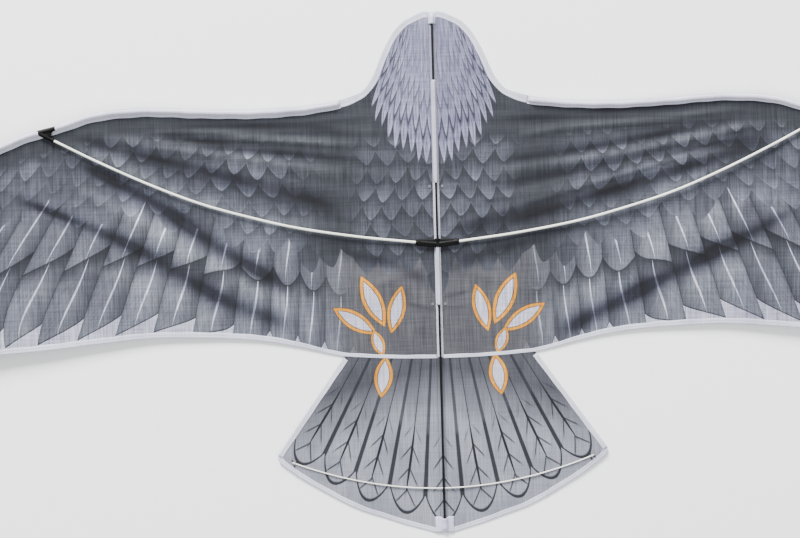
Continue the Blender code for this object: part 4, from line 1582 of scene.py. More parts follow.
def add_stitch(shape: BMesh, middle: Vector, way: Vector) -> None:
    """Adds one stitch of thread, a slim closed grain.

    Args:
        shape: The bmesh that holds the stitches.
        middle: Its middle.
        way: The direction that it lies in.
    """
    turn = way.to_track_quat("X", "Z").to_matrix().to_4x4()
    size = Matrix.Diagonal((*STITCH, 1.0))
    bmesh.ops.create_icosphere(shape, subdivisions=1, radius=1.0,
                               matrix=Matrix.Translation(middle) @ turn @ size)


def hem_section(width: float, under: Sequence[float]) -> Array:
    """Draws a folded hem's section from its inner edge over the cloth and back below it.

    Args:
        width: The hem's width.
        under: Where the fold's lower side has points, as shares of the width.

    Returns:
        Distance in from the edge and height over the cloth, one point a row.
    """
    upper = [
        (width, 0.00024), (width * 0.6, 0.00026), (0.0006, 0.00025), (-0.0002, 0.00014),
        (-0.0003, 0.0), (-0.0002, -0.00014), (0.0006, -0.0002),
    ]
    return np.array(upper + [(width * share, -0.0002) for share in under])


def tail_edges(x: Array) -> tuple[Array, Array]:
    """The tail's upper and lower edges.

    Args:
        x: Places across, without sign.

    Returns:
        Places along the kite of the upper and of the lower edge.
    """
    root = len(HEAD_SHARES)
    corner_y = SHAPE.tail_y + SHAPE.tail_fan_depth + SHAPE.tail_corner_blunt
    top_x = np.append(SHAPE.trailing[: root + 1, 0], SHAPE.tail_half_width)
    top_y = np.append(SHAPE.trailing[: root + 1, 1], corner_y)
    shares = np.array(TAIL_SHARES)
    line = smooth_line(shares, np.linspace(0, len(shares) - 1, 300))
    low = np.interp(x / SHAPE.tail_half_width, line[:, 0], line[:, 1])
    return np.interp(x, top_x, top_y), SHAPE.tail_y + low * SHAPE.tail_fan_depth


def tail_z(x: Array, y: Array, side: Side) -> Array:
    """The middle of the tail's cloth above the ground.

    Args:
        x: Places across, without sign.
        y: Places along the kite.
        side: The tail's half.

    Returns:
        The height at each place.
    """
    top, low = tail_edges(x)
    border = ease(0.004, 0.02, y - low) * ease(0.0, 0.02, top - y) * ease(0.004, 0.02, x)
    angle = np.arctan2(x, SHAPE.tail_fan_centre - y)
    ripple = 0.5 + 0.5 * np.cos(angle * 46 + side.value * 0.8 + np.sin(y * 60))
    slack = 0.5 + 0.5 * np.sin(x * 60 + y * 38 + side.value)
    height = SHAPE.tail_ripple * ripple * ease(-0.29, -0.2, y) + SHAPE.tail_slack * slack
    return SHAPE.underside(x) + SHAPE.cloth_lift + height * border


@dataclass
class Wing:
    """One wing with its half of the head: cloth, hems, sleeves, rod and eyelets."""

    side: Side
    finish: Finishes
    cloth_thickness: float = 0.0002
    hem_width: float = 0.0062
    trailing_hem_width: float = 0.0058
    shoulder_width: float = 0.0086
    mean_sleeve_width: float = 0.0093
    sleeve_difference: float = 0.0008
    sleeve_thickness: float = 0.00022
    sleeve_stitches: float = 0.00042
    slant: float = 0.007
    rod_radius: float = 0.0015
    hem_inset: float = 0.0004
    head_share: float = 0.16
    eyelets: tuple[tuple[str, float], ...] = (("upper", 0.2005), ("lower", 0.3359))
    eyelet_from_tape: float = 0.0038
    eyelet_height: float = 0.0009
    eyelet_radius: float = 0.00108
    eyelet_wire: float = 0.0005
    pieces: list[Piece] = field(default_factory=list)

    @property
    def sleeve_width(self) -> float:
        """The rod sleeve's width; the left one lies flatter than the right one."""
        return self.mean_sleeve_width - self.sleeve_difference * self.side.value

    def name(self, words: str) -> str:
        """A piece's name with the wing's side before it."""
        return f"{self.side.word}_{words}"

    def place(self, u: Array, v: Array) -> Array:
        """Lays the cloth.

        Args:
            u: Shares of the way from the spine to the tip.
            v: Shares of the way from the trailing to the leading edge.

        Returns:
            Its points.
        """
        head, last = len(HEAD_SHARES) - 1, len(SHAPE.leading) - 1
        split, inset = self.head_share, self.hem_inset
        places = np.where(u < split, u / split * head,
                          head + (u - split) / (1 - split) * (last - head))
        lead = smooth_line(SHAPE.leading, places)
        trail = smooth_line(SHAPE.trailing, places)
        x = lead[:, 0]
        y = trail[:, 1] + inset + (lead[:, 1] - trail[:, 1] - 2 * inset) * v
        x = np.minimum(x, SHAPE.half_span - inset)
        z = WingPlaces(self.side, x, y).z()
        return np.column_stack([x * self.side.value, y, z])

    def chart(self, plan: Callable[[WingPlaces], Array]) -> Chart:
        """A UV map of the wing's places as one that fills its cloth."""
        return over_plan(lambda x, y: plan(WingPlaces(self.side, x, y)))

    def cloth(self) -> Piece:
        """Makes the wing's printed cloth.

        Returns:
            The cloth.
        """
        plans = {
            "coverts": WingPlaces.covert_chart, "quills": WingPlaces.quill_chart,
            "zones": WingPlaces.zone_chart, "hackles": WingPlaces.hackle_chart,
            "shade": WingPlaces.shade_chart,
        }
        charts = {label: self.chart(plan) for label, plan in plans.items()}
        made = sheet_piece(self.name("wing_cloth"), (310, 150), self.place, charts,
                           self.finish.wing, self.cloth_thickness, self.side is Side.LEFT)
        return settle(made, self.side.wing, "printed_cloth", self.name("wing_sail"))

    def sew(self, made: Piece, slot: str, *nodes: str) -> None:
        """Settles a piece on the wing and notes that it goes with the cloth."""
        self.pieces.append(settle(made, self.side.wing, slot, *nodes))

    def hems(self) -> None:
        """Makes the hems round the head and along the trailing edge, with their seams."""
        head = len(HEAD_SHARES)
        places = np.linspace(0, head, 160)
        round_tip = np.vstack([SHAPE.leading[-2:], SHAPE.trailing[::-1]])
        runs = {
            "head_hem": (smooth_line(SHAPE.leading, places), self.hem_width, (0.0, 0.035),
                         1.36),
            "trailing_hem": (
                smooth_line(round_tip, np.linspace(0.7, len(round_tip) - 1, 520)),
                self.trailing_hem_width, (0.11, 0.21), 0.68),
        }
        for words, (edge, width, ends, share) in runs.items():
            section = hem_section(width, (0.5, 0.95))
            strip = Strip(edge, section, self.side, lead_out=ends, end_share=share)
            made = strip.build(self.name(words + "_fold"), self.finish.hem, HEM_THICKNESS)
            self.sew(made, "hem_tape", self.name(words))
            seam = strip.stitches(self.name(words + "_seam"), (0.0011, width - 0.0009),
                                  STITCH_HEIGHT, self.finish.thread)
            self.sew(seam, "hem_tape")

    def sleeve_section(self) -> Array:
        """Draws the rod sleeve's section: a flat seam, an arch over the rod, a folded edge.

        Returns:
            Distance in from the edge and height over the cloth, one point a row.
        """
        w, r, top = self.sleeve_width, SHAPE.rod_inset, SHAPE.rod_height
        return np.array([
            (w, 0.00026), (w * 0.86, 0.0003), (w * 0.72, 0.0011), (r + 0.0021, top + 0.0009),
            (r + 0.0011, top + 0.0019), (r, top + 0.0021), (r - 0.0011, top + 0.0019),
            (r - 0.0021, top + 0.0007), (0.0007, 0.0013), (-0.0001, 0.00035),
            (-0.0001, -0.0001), (0.0008, -0.0002), (0.004, -0.0002),
        ])

    def leading_places(self) -> tuple[float, float]:
        """Finds where the leading sleeve is cut round the fitting.

        Returns:
            The cut's inner and outer end, counted in outline points.
        """
        inner, outer = len(HEAD_SHARES) + 11, len(HEAD_SHARES) + 12
        a, b = SHAPE.leading[inner], SHAPE.leading[outer]
        span = float(np.linalg.norm(b - a))
        far = outer - SHAPE.fitting_tip_share + (self.hem_inset - self.slant) / span
        near = outer - SHAPE.fitting_tip_share
        near -= (SHAPE.fitting_arm + self.hem_inset - self.slant) / span
        return near, far

    def sleeves(self) -> None:
        """Makes the two rod sleeves of the leading edge with their seams."""
        near, far = self.leading_places()
        shoulder = self.shoulder_width / self.sleeve_width
        runs = {
            "inner": (len(HEAD_SHARES), near, 240),
            "outer": (far, len(SHAPE.leading) - 1, 200),
        }
        for word, (start, stop, count) in runs.items():
            edge = smooth_line(SHAPE.leading, np.linspace(start, stop, count))
            begun = {"slant_start": self.slant, "shut": 0.006}
            if word == "inner":
                begun = {"lead_in": 0.05, "start_share": shoulder, "slant_end": self.slant}
            strip = Strip(edge, self.sleeve_section(), self.side, **begun)
            made = strip.build(self.name(f"leading_{word}_sleeve"), self.finish.hem,
                               self.sleeve_thickness)
            self.sew(made, "hem_tape", self.name(f"leading_sleeve_{word}"))
            seam = strip.stitches(self.name(f"leading_{word}_seam"),
                                  (self.sleeve_width - 0.0009,), self.sleeve_stitches,
                                  self.finish.thread)
            self.sew(seam, "hem_tape")

    def rod(self) -> None:
        """Makes the leading-edge rod."""
        axis = SHAPE.rod_axis()
        head = len(HEAD_SHARES)
        places = np.linspace(head + 0.2, len(axis) - 1.42, 220)
        path = mirrored(smooth_line(axis, places), self.side)
        made = mesh_piece(self.name("leading_rod"), rod_shape(path, self.rod_radius, 18),
                          self.finish.white_rod)
        self.sew(made, "white_rod", self.name("leading_edge_rod"))

    def rings(self) -> None:
        """Makes the two bridle eyelets beside the spine."""
        across = self.side.value * (SHAPE.tape_half_width + self.eyelet_from_tape)
        for level, from_nose in self.eyelets:
            centre = Vector((across, SHAPE.nose_y - from_nose, self.eyelet_height))
            shape = bmesh.new()
            out = Matrix.Translation(centre + Vector((self.eyelet_radius, 0.0, 0.0)))
            bmesh.ops.create_circle(shape, cap_ends=False, segments=10,
                                    radius=self.eyelet_wire,
                                    matrix=out @ Matrix.Rotation(math.pi / 2, 4, "X"))
            bmesh.ops.spin(shape, geom=shape.edges[:] + shape.verts[:], cent=centre,
                           axis=(0.0, 0.0, 1.0), angle=math.tau, steps=24, use_merge=True)
            bmesh.ops.remove_doubles(shape, verts=shape.verts, dist=1e-6)
            bmesh.ops.recalc_face_normals(shape, faces=shape.faces)
            made = mesh_piece(self.name(f"{level}_eyelet"), shape, self.finish.eyelet)
            self.sew(made, "eyelet", self.name(f"{level}_bridle_eyelet"))

    def build(self) -> None:
        """Makes every piece of the wing."""
        cloth = self.cloth()
        self.hems()
        self.sleeves()
        self.rod()
        self.rings()
        self.name("leading_rod")


@dataclass
class Spreader:
    """A bowed spreader with the soft fitting that holds it to the leading-edge rod."""

    side: Side
    finish: Finishes
    rod_radius: float = 0.00135
    fitting_radius: float = 0.0025
    web_size: Triple = (0.0046, 0.0080, 0.0011)
    web_from_tip: float = 0.0075
    bore_radius: float = 0.0017
    socket_radius: float = 0.0016
    socket_from_tip: float = 0.0075

    def rod(self) -> None:
        """Makes the spreader's rod."""
        path = mirrored(SHAPE.spreader_line(), self.side)
        made = mesh_piece(f"{self.side.word}_spreader", rod_shape(path, self.rod_radius, 20),
                          self.finish.white_rod)
        settle(made, self.side.spreader, "white_rod", f"{self.side.word}_spreader_rod")

    def arm(self, start: Vector, way: Vector) -> BMesh:
        """Makes one tapering arm with a collar round its mouth.

        Args:
            start: The arm's start.
            way: Its direction.

        Returns:
            Its bmesh.
        """
        stations = (0.0, 0.25, 0.8, 0.86, 0.9, 1.0)
        radii = (0.88, 1.0, 0.94, 1.0, 1.08, 1.08)
        path = [start + way * (SHAPE.fitting_arm * s) for s in stations]
        return rod_shape(np.array(path), [r * self.fitting_radius for r in radii], 24)

    def fitting(self) -> None:
        """Makes the V-shaped fitting: two arms, a web between them and two bores."""
        mirror = np.array([self.side.value, 1.0, 1.0])
        tip = Vector(SHAPE.tip * mirror)
        line = SHAPE.spreader_line()
        lower = Vector(line[-2] * mirror) - tip
        lower.normalize()
        upper = Vector(SHAPE.upper_way * mirror)
        middle = (upper + lower).normalized()
        web = bmesh.new()
        flat = Matrix((upper - lower, middle, upper.cross(lower))).transposed()
        flat.normalize()
        turn = flat.to_4x4()
        size = Matrix.Diagonal((*self.web_size, 1.0))
        place = Matrix.Translation(tip + middle * self.web_from_tip)
        bmesh.ops.create_icosphere(web, subdivisions=3, radius=1.0, matrix=place @ turn @ size)
        parts = [self.arm(tip, upper), self.arm(tip, lower), web]
        over = 0.001
        past = SHAPE.fitting_arm + over
        bore = np.array([tip - upper * over, tip + upper * past])
        socket = np.array([tip + lower * self.socket_from_tip, tip + lower * past])
        bores = [rod_shape(bore, self.bore_radius, 24, 0.0),
                 rod_shape(socket, self.socket_radius, 24, 0.0)]
        made = moulded(f"{self.side.word}_vee_fitting", parts, bores, 6, self.finish.soft_vinyl)
        settle(made, self.side.spreader, "soft_moulding", f"{self.side.word}_wing_fitting")

    def build(self) -> None:
        """Makes the rod and its fitting."""
        self.rod()
        self.fitting()


def arch(x: Array, top: float | Array, inner: float, outer: float) -> Array:
    """The height of cloth that goes over the spine and falls to the tape between two x."""
    return SHAPE.tape_top + (top - SHAPE.tape_top) * (1 - ease(inner, outer, np.abs(x)))


@dataclass(frozen=True)
class Sleeve:
    """One stretch of the spine's tape that is closed round the spine."""

    from_nose: float
    length: float
    opened: float
    closed: float
    half: float

    def width(self, v: Array) -> Array:
        """The sleeve's half width, which narrows to a point at its cut ends."""
        narrow = ease(0.0, self.opened, v) * (1 - ease(self.closed, 1.0, v))
        return self.half * (0.72 + 0.28 * narrow)

    def height(self, v: Array, x: Array) -> Array:
        """The sleeve's height over the spine, a little wrinkled."""
        wrinkle = 0.00009 * np.sin(v * 90 + x * 900)
        return arch(x, SHAPE.spine_top + 0.00035, 0.00115, 0.0026) + wrinkle


@dataclass(frozen=True)
class Pocket:
    """A webbing pocket over one end of the spine."""

    upper_y: float
    lower_y: float
    half: float
    spread: float
    mouth: float
    at_tail: bool

    def width(self, v: Array) -> Array:
        """The pocket's half width, which wanders a little."""
        return self.half * (1 + 0.015 * np.sin(v * 9))

    def height(self, v: Array, x: Array) -> Array:
        """Closes the pocket at the kite's edge, and creases the tail's one.

        Args:
            v: Shares of the way down it.
            x: Places across.

        Returns:
            The height at each place.
        """
        shut = ease(0.80, 0.97, v) if self.at_tail else 1 - ease(0.0, 0.28, v)
        gape = 0.0011 * (1 - ease(0.0, 0.4, v)) * self.at_tail
        rise = SHAPE.spine_top + 0.00045 + gape - SHAPE.tape_top
        crease = np.exp(-(((x + 0.0072 + 0.0012 * np.sin(v * 5)) / 0.0009) ** 2))
        fold = 0.0007 * crease * self.at_tail * (1 - ease(0.8, 1.0, v))
        top = SHAPE.tape_top + rise * (1 - shut)
        return arch(x, top, 0.0012, self.spread) + 0.0003 + fold


@dataclass
class Spine:
    """The spine with its tape, closed sleeves and end pockets."""

    finish: Finishes
    end_gap: float = 0.0050
    tape_thickness: float = 0.0002
    webbing_thickness: float = 0.0005

    def rod(self) -> None:
        """Makes the spine's rod."""
        ends = (SHAPE.nose_y - self.end_gap, 0.0, SHAPE.tail_y + self.end_gap)
        path = np.array([(0.0, y, SHAPE.spine_height) for y in ends])
        made = mesh_piece("spine", rod_shape(path, SHAPE.spine_radius, 20),
                          self.finish.black_rod)
        settle(made, "root", "black_rod", "spine_rod")

    def band(self, name: str, ends: tuple[float, float], half: Callable[[Array], Array],
             profile: Place, finish: Material, thickness: float, mouth: float = 0.0) -> Piece:
        """Lays a band of cloth along the spine.

        Args:
            name: The piece's name.
            ends: Its upper and lower ends along the kite.
            half: Its half width at each share of its length.
            profile: Its height at each share of its length and place across.
            finish: Its finish.
            thickness: Its cloth's thickness.
            mouth: How far its upper edge curves back over the spine.

        Returns:
            The object.
        """
        length = ends[0] - ends[1]

        def place(u: Array, v: Array) -> Array:
            """Lays the band.

            Args:
                u: Shares of the way across it.
                v: Shares of the way down it.

            Returns:
                Its points.
            """
            x = (u * 2 - 1) * half(v)
            back = mouth * np.exp(-((x / 0.0030) ** 2)) * (1 - ease(0.0, 0.5, v))
            return np.column_stack([x, ends[0] - v * length - back, profile(v, x)])

        def chart(u: Array, _v: Array, _points: Array) -> Array:
            """Columns at a half, away from an edge's line, rows as the share across it."""
            return np.column_stack([np.full_like(u, 0.5), u])

        counts = (24, max(8, round(length / 0.002)))
        return sheet_piece(name, counts, place, {"strip": chart}, finish, thickness, True)

    def tape(self) -> None:
        """Makes the flat tape under the spine, from the nose to the tail's seam."""
        def flat(_v: Array, x: Array) -> Array:
            """The tape's height, with its two folded edges a little raised."""
            return 0.00036 + 0.00012 * ease(0.0026, 0.0034, np.abs(x))

        def width(v: Array) -> Array:
            """The tape's half width, which wanders a little."""
            return SHAPE.tape_half_width - 0.0001 + 0.00005 * np.sin(v * 60)

        made = self.band("spine_binding", (SHAPE.nose_y - 0.0006, SHAPE.seam_y), width, flat,
                         self.finish.binding, self.tape_thickness)
        settle(made, "root", "hem_tape", "spine_tape")

    def sleeves(self) -> None:
        """Makes the two closed stretches where the tape is sewn round the spine."""
        runs = {
            "upper": Sleeve(0.0784, 0.1183, 0.02, 0.94, 0.0026),
            "lower": Sleeve(0.2687, 0.0681, 0.10, 0.97, 0.00345),
        }
        for word, run in runs.items():
            start = SHAPE.nose_y - run.from_nose
            made = self.band(f"spine_{word}_sleeve", (start, start - run.length), run.width,
                             run.height, self.finish.tape, self.tape_thickness)
            settle(made, "root", "hem_tape", f"spine_sleeve_{word}")

    def pockets(self) -> None:
        """Makes the webbing pockets that hold the spine's ends."""
        nose, tail = SHAPE.nose_y, SHAPE.tail_y
        runs = {
            "nose": Pocket(nose - 0.0012, nose - 0.0137, 0.0039, 0.0024, 0.0, False),
            "tail": Pocket(tail + 0.0200, tail + 0.0012, 0.0104, 0.0046, 0.0024, True),
        }
        for word, run in runs.items():
            made = self.band(f"{word}_webbing_pocket", (run.upper_y, run.lower_y), run.width,
                             run.height, self.finish.webbing, self.webbing_thickness, run.mouth)
            settle(made, "root", "hem_tape", f"{word}_pocket")

    def build(self) -> None:
        """Makes every piece along the spine."""
        self.rod()
        self.tape()
        self.sleeves()
        self.pockets()
        CentreFitting(self.finish).build()


@dataclass
class CentreFitting:
    """The soft fitting at the spine, in two halves, one for each wing."""

    finish: Finishes
    hub_radius: float = 0.0029
    hub_end_radius: float = 0.0026
    web_size: Triple = (0.0235, 0.0098, 0.0044)
    web_offset: Triple = (0.0123, 0.0010, -0.0003)
    web_narrowing: float = 0.0026
    web_round: float = 0.0014
    root_hold: float = 0.0030
    wing_hold: float = 0.0070

    def arm(self, sign: int) -> BMesh:
        """Makes one socket with a collar round its mouth.

        Args:
            sign: Its side's sign along X.

        Returns:
            Its bmesh.
        """
        stations = (-0.001, 0.004, 0.019, 0.0205, 0.0215, 0.025)
        radii = (0.0030, 0.0029, 0.0027, 0.0029, 0.0031, 0.0031)
        slope = SHAPE.centre_arm_rise / SHAPE.centre_arm
        path = [(sign * s, SHAPE.spreader_y + slope * s, SHAPE.spine_height) for s in stations]
        return rod_shape(np.array(path), radii, 24)

    def hub(self) -> BMesh:
        """Makes the short tube that the spine passes through.

        Returns:
            Its bmesh.
        """
        stations = (-0.0034, -0.0026, 0.0055, 0.0066)
        path = np.array([(0.0, SHAPE.spreader_y + s, SHAPE.spine_height) for s in stations])
        end, middle = self.hub_end_radius, self.hub_radius
        return rod_shape(path, (end, middle, middle, end), 24)

    def web(self, sign: int) -> BMesh:
        """Makes the block below one socket, narrower towards its mouth.

        Args:
            sign: Its side's sign along X.

        Returns:
            Its bmesh.
        """
        y = SHAPE.spreader_y
        right, up, rise = self.web_offset
        web = bmesh.new()
        place = Matrix.Translation((sign * right, y + up, SHAPE.spine_height + rise))
        size = Matrix.Diagonal((*self.web_size, 1.0))
        bmesh.ops.create_cube(web, size=1.0, matrix=place @ size)
        for vert in web.verts:
            if vert.co.x * sign > right and vert.co.y < y:
                vert.co.y += self.web_narrowing
        bmesh.ops.bevel(web, geom=web.edges[:], offset=self.web_round, offset_type="OFFSET",
                        affect="EDGES", segments=3, profile=0.5, material=-1)
        return web

    def trim_half(self, made: Piece, side: Side) -> None:
        """Keeps one half of a piece and closes its cut face.

        Args:
            made: The whole piece.
            side: The half to keep.
        """
        shape = bmesh.new()
        shape.from_mesh(made.data)
        geom = shape.verts[:] + shape.edges[:] + shape.faces[:]
        cut = bmesh.ops.bisect_plane(shape, geom=geom, dist=1e-7, plane_co=(0.0, 0.0, 0.0),
                                     plane_no=(side.value, 0.0, 0.0), clear_inner=True)
        rim = [part for part in cut["geom_cut"] if isinstance(part, bmesh.types.BMEdge)]
        bmesh.ops.holes_fill(shape, edges=rim)
        bmesh.ops.recalc_face_normals(shape, faces=shape.faces)
        shape.to_mesh(made.data)
        shape.free()

    def build(self) -> None:
        """Fuses the arms, hub and webs, and makes each half."""
        signs = (-1, 1)
        parts = [*map(self.arm, signs), self.hub(), *map(self.web, signs)]
        y, z = SHAPE.spreader_y, SHAPE.spine_height
        for side in Side:
            half = [part.copy() for part in parts]
            made = moulded(f"centre_fitting_{side.word}_half", half, [], 5,
                           self.finish.soft_vinyl)
            self.trim_half(made, side)
            settle_bent(made, ("root", side.wing), (side.value * self.root_hold, y, z),
                        (side.value * self.wing_hold, y, z), "soft_moulding",
                        "centre_fitting")
        for part in parts:
            part.free()


@dataclass
class Tail:
    """The fan-shaped tail: cloth, hems, its thin bowed rod and the ties at its ends."""

    finish: Finishes
    rod_radius: float = 0.0007
    hem_width: float = 0.0048
    side_stitches: float = 0.00055
    rod_from_corner: float = 0.0155
    rod_below_corner: float = 0.0027
    rod_bow: float = 0.0338
    cloth_thickness: float = 0.0002
    hem_inset: float = 0.0004
    spine_hold_y: float = -0.205
    wing_hold_y: float = -0.108
    loop_radius: float = 0.00045
    loop_slack: float = 0.0008
    loop_from_end: float = 0.003
    knot_size: Triple = (0.0012, 0.0009, 0.0008)

    def place(self, side: Side, u: Array, v: Array) -> Array:
        """Lays one half's cloth.

        Args:
            side: The half.
            u: Shares of the way from the spine outwards.
            v: Shares of the way from the lower edge upwards.

        Returns:
            Its points.
        """
        inner, outer = SHAPE.hinge_x, SHAPE.tail_half_width - self.hem_inset
        x = inner + (outer - inner) * u
        top, low = tail_edges(x)
        under = 0.0025 * (1 - ease(0.100, 0.108, x))
        y = low + self.hem_inset + (top - low - 2 * self.hem_inset + under) * v
        z = tail_z(x, y, side) - 0.00022 * ease(SHAPE.seam_y - 0.006, SHAPE.seam_y, y)
        return np.column_stack([x * side.value, y, z])

    @staticmethod
    def fan_chart(x: Array, y: Array) -> Array:
        """Sets the tail's feathers out round the fan's centre.

        Args:
            x: Places across, without sign.
            y: Places along the kite.

        Returns:
            Columns 7.7 degrees apart; the first row ends 38 mm inside the lower edge.
        """
        below = SHAPE.tail_fan_centre - y
        angle, radius = np.arctan2(x, below), np.hypot(x, below)
        x_low = np.linspace(0.0, SHAPE.tail_half_width, 200)
        edge = SHAPE.tail_fan_centre - tail_edges(x_low)[1]
        reach = np.interp(angle, np.arctan2(x_low, edge), np.hypot(x_low, edge))
        row = 1 + (radius - reach + 0.038) / 0.105
        return np.column_stack([angle / 0.1345 + 0.5, np.maximum(row, 0.28)])

    def cloth(self) -> None:
        """Makes both halves of the cloth and their hems."""
        for side in Side:
            made = sheet_piece(f"{side.word}_tail_cloth", (96, 96), partial(self.place, side),
                               {"fan": over_plan(self.fan_chart)}, self.finish.tail,
                               self.cloth_thickness, side is Side.LEFT)
            self.bend(made, side, "tail_cloth", "tail_panel")
            pieces = self.hems(side)

    def bend(self, made: Piece, side: Side, slot: str, *nodes: str) -> None:
        """Bakes a piece's place and hides its solids, logging the spine below and the wing at
        the seam as its bodies.

        Args:
            made: The piece.
            side: Its side.
            slot: The material slot of its finish.
            nodes: The solids that it stands for.
        """
        x = side.value * SHAPE.hinge_x
        settle_bent(made, ("root", side.wing), (x, self.spine_hold_y, 0.0),
                    (x, self.wing_hold_y, 0.0), slot, *nodes)

    def hems(self, side: Side) -> list[Piece]:
        """Makes one half's side hem and bottom hem with their seams.

        Args:
            side: The half.

        Returns:
            The hems and seams.
        """
        corner_y = SHAPE.tail_y + SHAPE.tail_fan_depth
        start = SHAPE.trailing[len(HEAD_SHARES)]
        corner = (SHAPE.tail_half_width, corner_y + SHAPE.tail_corner_blunt)
        ends = np.array([start, corner])
        flank = smooth_line(ends, np.linspace(0.02, 1, 60))
        x = np.linspace(SHAPE.tail_half_width - 0.0005, 0.0092 + 0.0002, 140)
        bottom = np.vstack([[corner], np.column_stack([x, tail_edges(x)[1]])])
        made = []
        for words, edge in (("side", flank), ("bottom", bottom)):
            width = self.hem_width
            section = hem_section(width, (0.95,))
            if words == "side":
                section[:, 1] += np.where(section[:, 1] > 0, 0.0002, 0.0)
            strip = Strip(edge, section, side, tail=True)
            band = strip.build(f"{side.word}_tail_{words}_fold", self.finish.hem, HEM_THICKNESS)
            seam = strip.stitches(f"{side.word}_tail_{words}_seam", (0.001, width - 0.0008),
                                  self.side_stitches if words == "side" else STITCH_HEIGHT,
                                  self.finish.thread)
            if words == "side":
                self.bend(band, side, "hem_tape", f"{side.word}_tail_hem")
                self.bend(seam, side, "hem_tape")
            else:
                settle(band, "root", "hem_tape", f"{side.word}_tail_hem")
                settle(seam, "root", "hem_tape")
            made += [band, seam]
        return made

    def rod_path(self) -> Array:
        """Bows the tail rod's axis.

        Returns:
            Its points from left to right.
        """
        across = np.linspace(-1, 1, 81)
        x = across * (SHAPE.tail_half_width - self.rod_from_corner)
        end_y = SHAPE.tail_y + SHAPE.tail_fan_depth - self.rod_below_corner
        y = end_y - self.rod_bow * (1 - across**2)
        lift = 0.0003 + 0.0009 * (1 - across**4)
        z = SHAPE.underside(x) + SHAPE.cloth + lift + self.rod_radius
        return np.column_stack([x, y, z])

    def rod(self) -> None:
        """Makes the tail's rod."""
        made = mesh_piece("tail_rod", rod_shape(self.rod_path(), self.rod_radius, 14, 0.0002),
                          self.finish.white_rod)
        settle(made, "root", "white_rod", "tail_spreader_rod")

    def ties(self) -> None:
        """Makes the elastic loops over the rod's ends with their knots."""
        path = self.rod_path()
        for side, end, way in ((Side.LEFT, path[0], path[1] - path[0]),
                               (Side.RIGHT, path[-1], path[-2] - path[-1])):
            centre = Vector(end) + Vector(way).normalized() * self.loop_from_end
            across = Vector((-way[1], way[0], 0.0)).normalized()
            up = Vector((0.0, 0.0, 1.0))
            arc = [-0.5, *np.linspace(0, math.pi, 17), math.pi + 0.5]
            reach = self.rod_radius + self.loop_slack
            loop = [centre + across * (reach * math.cos(t)) + up * (reach * math.sin(t) * 0.8)
                    for t in arc]
            made = mesh_piece(f"{side.word}_tail_loop",
                              rod_shape(np.array(loop), self.loop_radius, 10, 0.0),
                              self.finish.elastic)
            settle(made, "root", "elastic", f"{side.word}_tail_tie")
            shape = bmesh.new()
            for k, (a, b) in enumerate(((1.0, 0.7), (-1.1, 0.4), (0.6, -1.6))):
                spot = centre + across * (a * 0.0026) + Vector(way).normalized() * (b * 0.002)
                spot.z = centre.z + 0.0001
                size = Matrix.Diagonal((*self.knot_size, 1.0))
                turn = Matrix.Rotation(0.7 * k, 4, "Z")
                bmesh.ops.create_icosphere(shape, subdivisions=3, radius=1.0,
                                           matrix=Matrix.Translation(spot) @ turn @ size)
            for vert in shape.verts:
                vert.co += vert.normal * 0.00012 * noise.noise(vert.co * 2400)
            knots = mesh_piece(f"{side.word}_tail_knots", shape, self.finish.knot)
            settle(knots, "root", "elastic")

    def strip_place(self, u: Array, v: Array) -> Array:
        """Lays the strip under the spine.

        Args:
            u: Shares of the way across it.
            v: Shares of the way up it.

        Returns:
            Its points.
        """
        x = (u * 2 - 1) * (SHAPE.hinge_x - 0.00005)
        low = SHAPE.tail_y + 0.0014
        y = low + (SHAPE.seam_y + 0.001 - low) * v
        return np.column_stack([x, y, np.full_like(u, 0.00036)])

    def strip(self) -> None:
        """Makes the plain strip of cloth under the spine between the tail's halves."""
        made = sheet_piece("tail_centre_strip", (6, 90), self.strip_place,
                           {"fan": over_plan(self.fan_chart)}, self.finish.tail,
                           self.cloth_thickness, False)
        settle(made, "root", "tail_cloth", "tail_panel")

    def build(self) -> None:
        """Makes every piece of the tail."""
        self.rod()
        self.ties()
        self.cloth()
        self.strip()


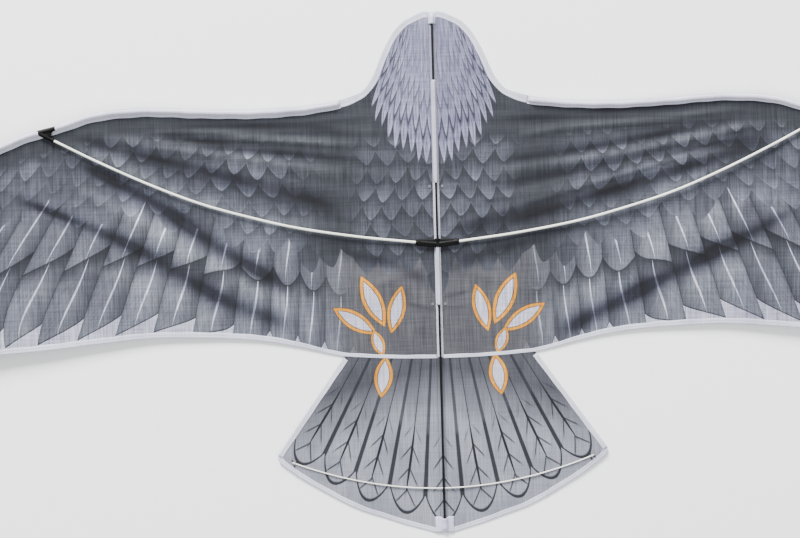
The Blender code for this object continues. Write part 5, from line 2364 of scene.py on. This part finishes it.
@dataclass
class Studio:
    """The pale floor, the soft lights and the camera straight above."""

    distance: float = 2.6
    view_width: float = 0.92
    centre: tuple[float, float] = (-0.0438, 0.0055)
    roll: float = -1.5

    def floor(self) -> None:
        """Lays a wide pale floor under the kite."""
        shape = bmesh.new()
        bmesh.ops.create_grid(shape, x_segments=1, y_segments=1, size=12.0,
                              matrix=Matrix.Translation((0.0, 0.0, -0.0006)))
        made = Finish("painted_board_white", 0.9)
        made.shader.inputs["Base Color"].default_value = linear("#fbfbfb")
        mesh_piece("floor", shape, made.material)

    def light(self, name: str, place: Triple, size: float,
              power: float) -> None:
        """Hangs a square soft light that looks at the kite.

        Args:
            name: The light's name.
            place: Where it hangs.
            size: Its side.
            power: Its power in watts.
        """
        data = bpy.data.lights.new(name, "AREA")
        data.size = size
        data.energy = power
        lamp = bpy.data.objects.new(name, data)
        bpy.context.scene.collection.objects.link(lamp)
        lamp.location = place
        lamp.rotation_euler = (-Vector(place)).to_track_quat("-Z", "Y").to_euler()
        lamp.visible_camera = False

    def camera(self) -> None:
        """Sets the camera straight above, turned as the photograph is."""
        data = bpy.data.cameras.new("camera")
        data.sensor_width = 36.0
        data.lens = data.sensor_width * self.distance / self.view_width
        made = bpy.data.objects.new("camera", data)
        bpy.context.scene.collection.objects.link(made)
        made.location = (*self.centre, self.distance)
        made.rotation_euler = (0.0, 0.0, math.radians(self.roll))
        bpy.context.scene.camera = made

    def build(self) -> None:
        """Makes the floor, the lights, the surroundings and the camera."""
        self.floor()
        self.light("key_light", (-1.3, 4.2, 2.6), 2.0, 950.0)
        self.light("fill_light", (1.6, -2.2, 3.4), 2.6, 90.0)
        world = bpy.data.worlds.new("pale_room")
        world.use_nodes = True
        world.node_tree.nodes["Background"].inputs[0].default_value = linear("#f2f4f7")
        world.node_tree.nodes["Background"].inputs[1].default_value = 1.0
        bpy.context.scene.world = world
        self.camera()


def main() -> None:
    """Builds the whole kite and its studio."""
    logging.basicConfig(level=logging.INFO, format="%(message)s")
    finish = Finishes.make()
    Studio().build()
    Spine(finish).build()
    for side in Side:
        Wing(side, finish).build()
        Spreader(side, finish).build()
    Tail(finish).build()


if __name__ == "__main__":
    main()
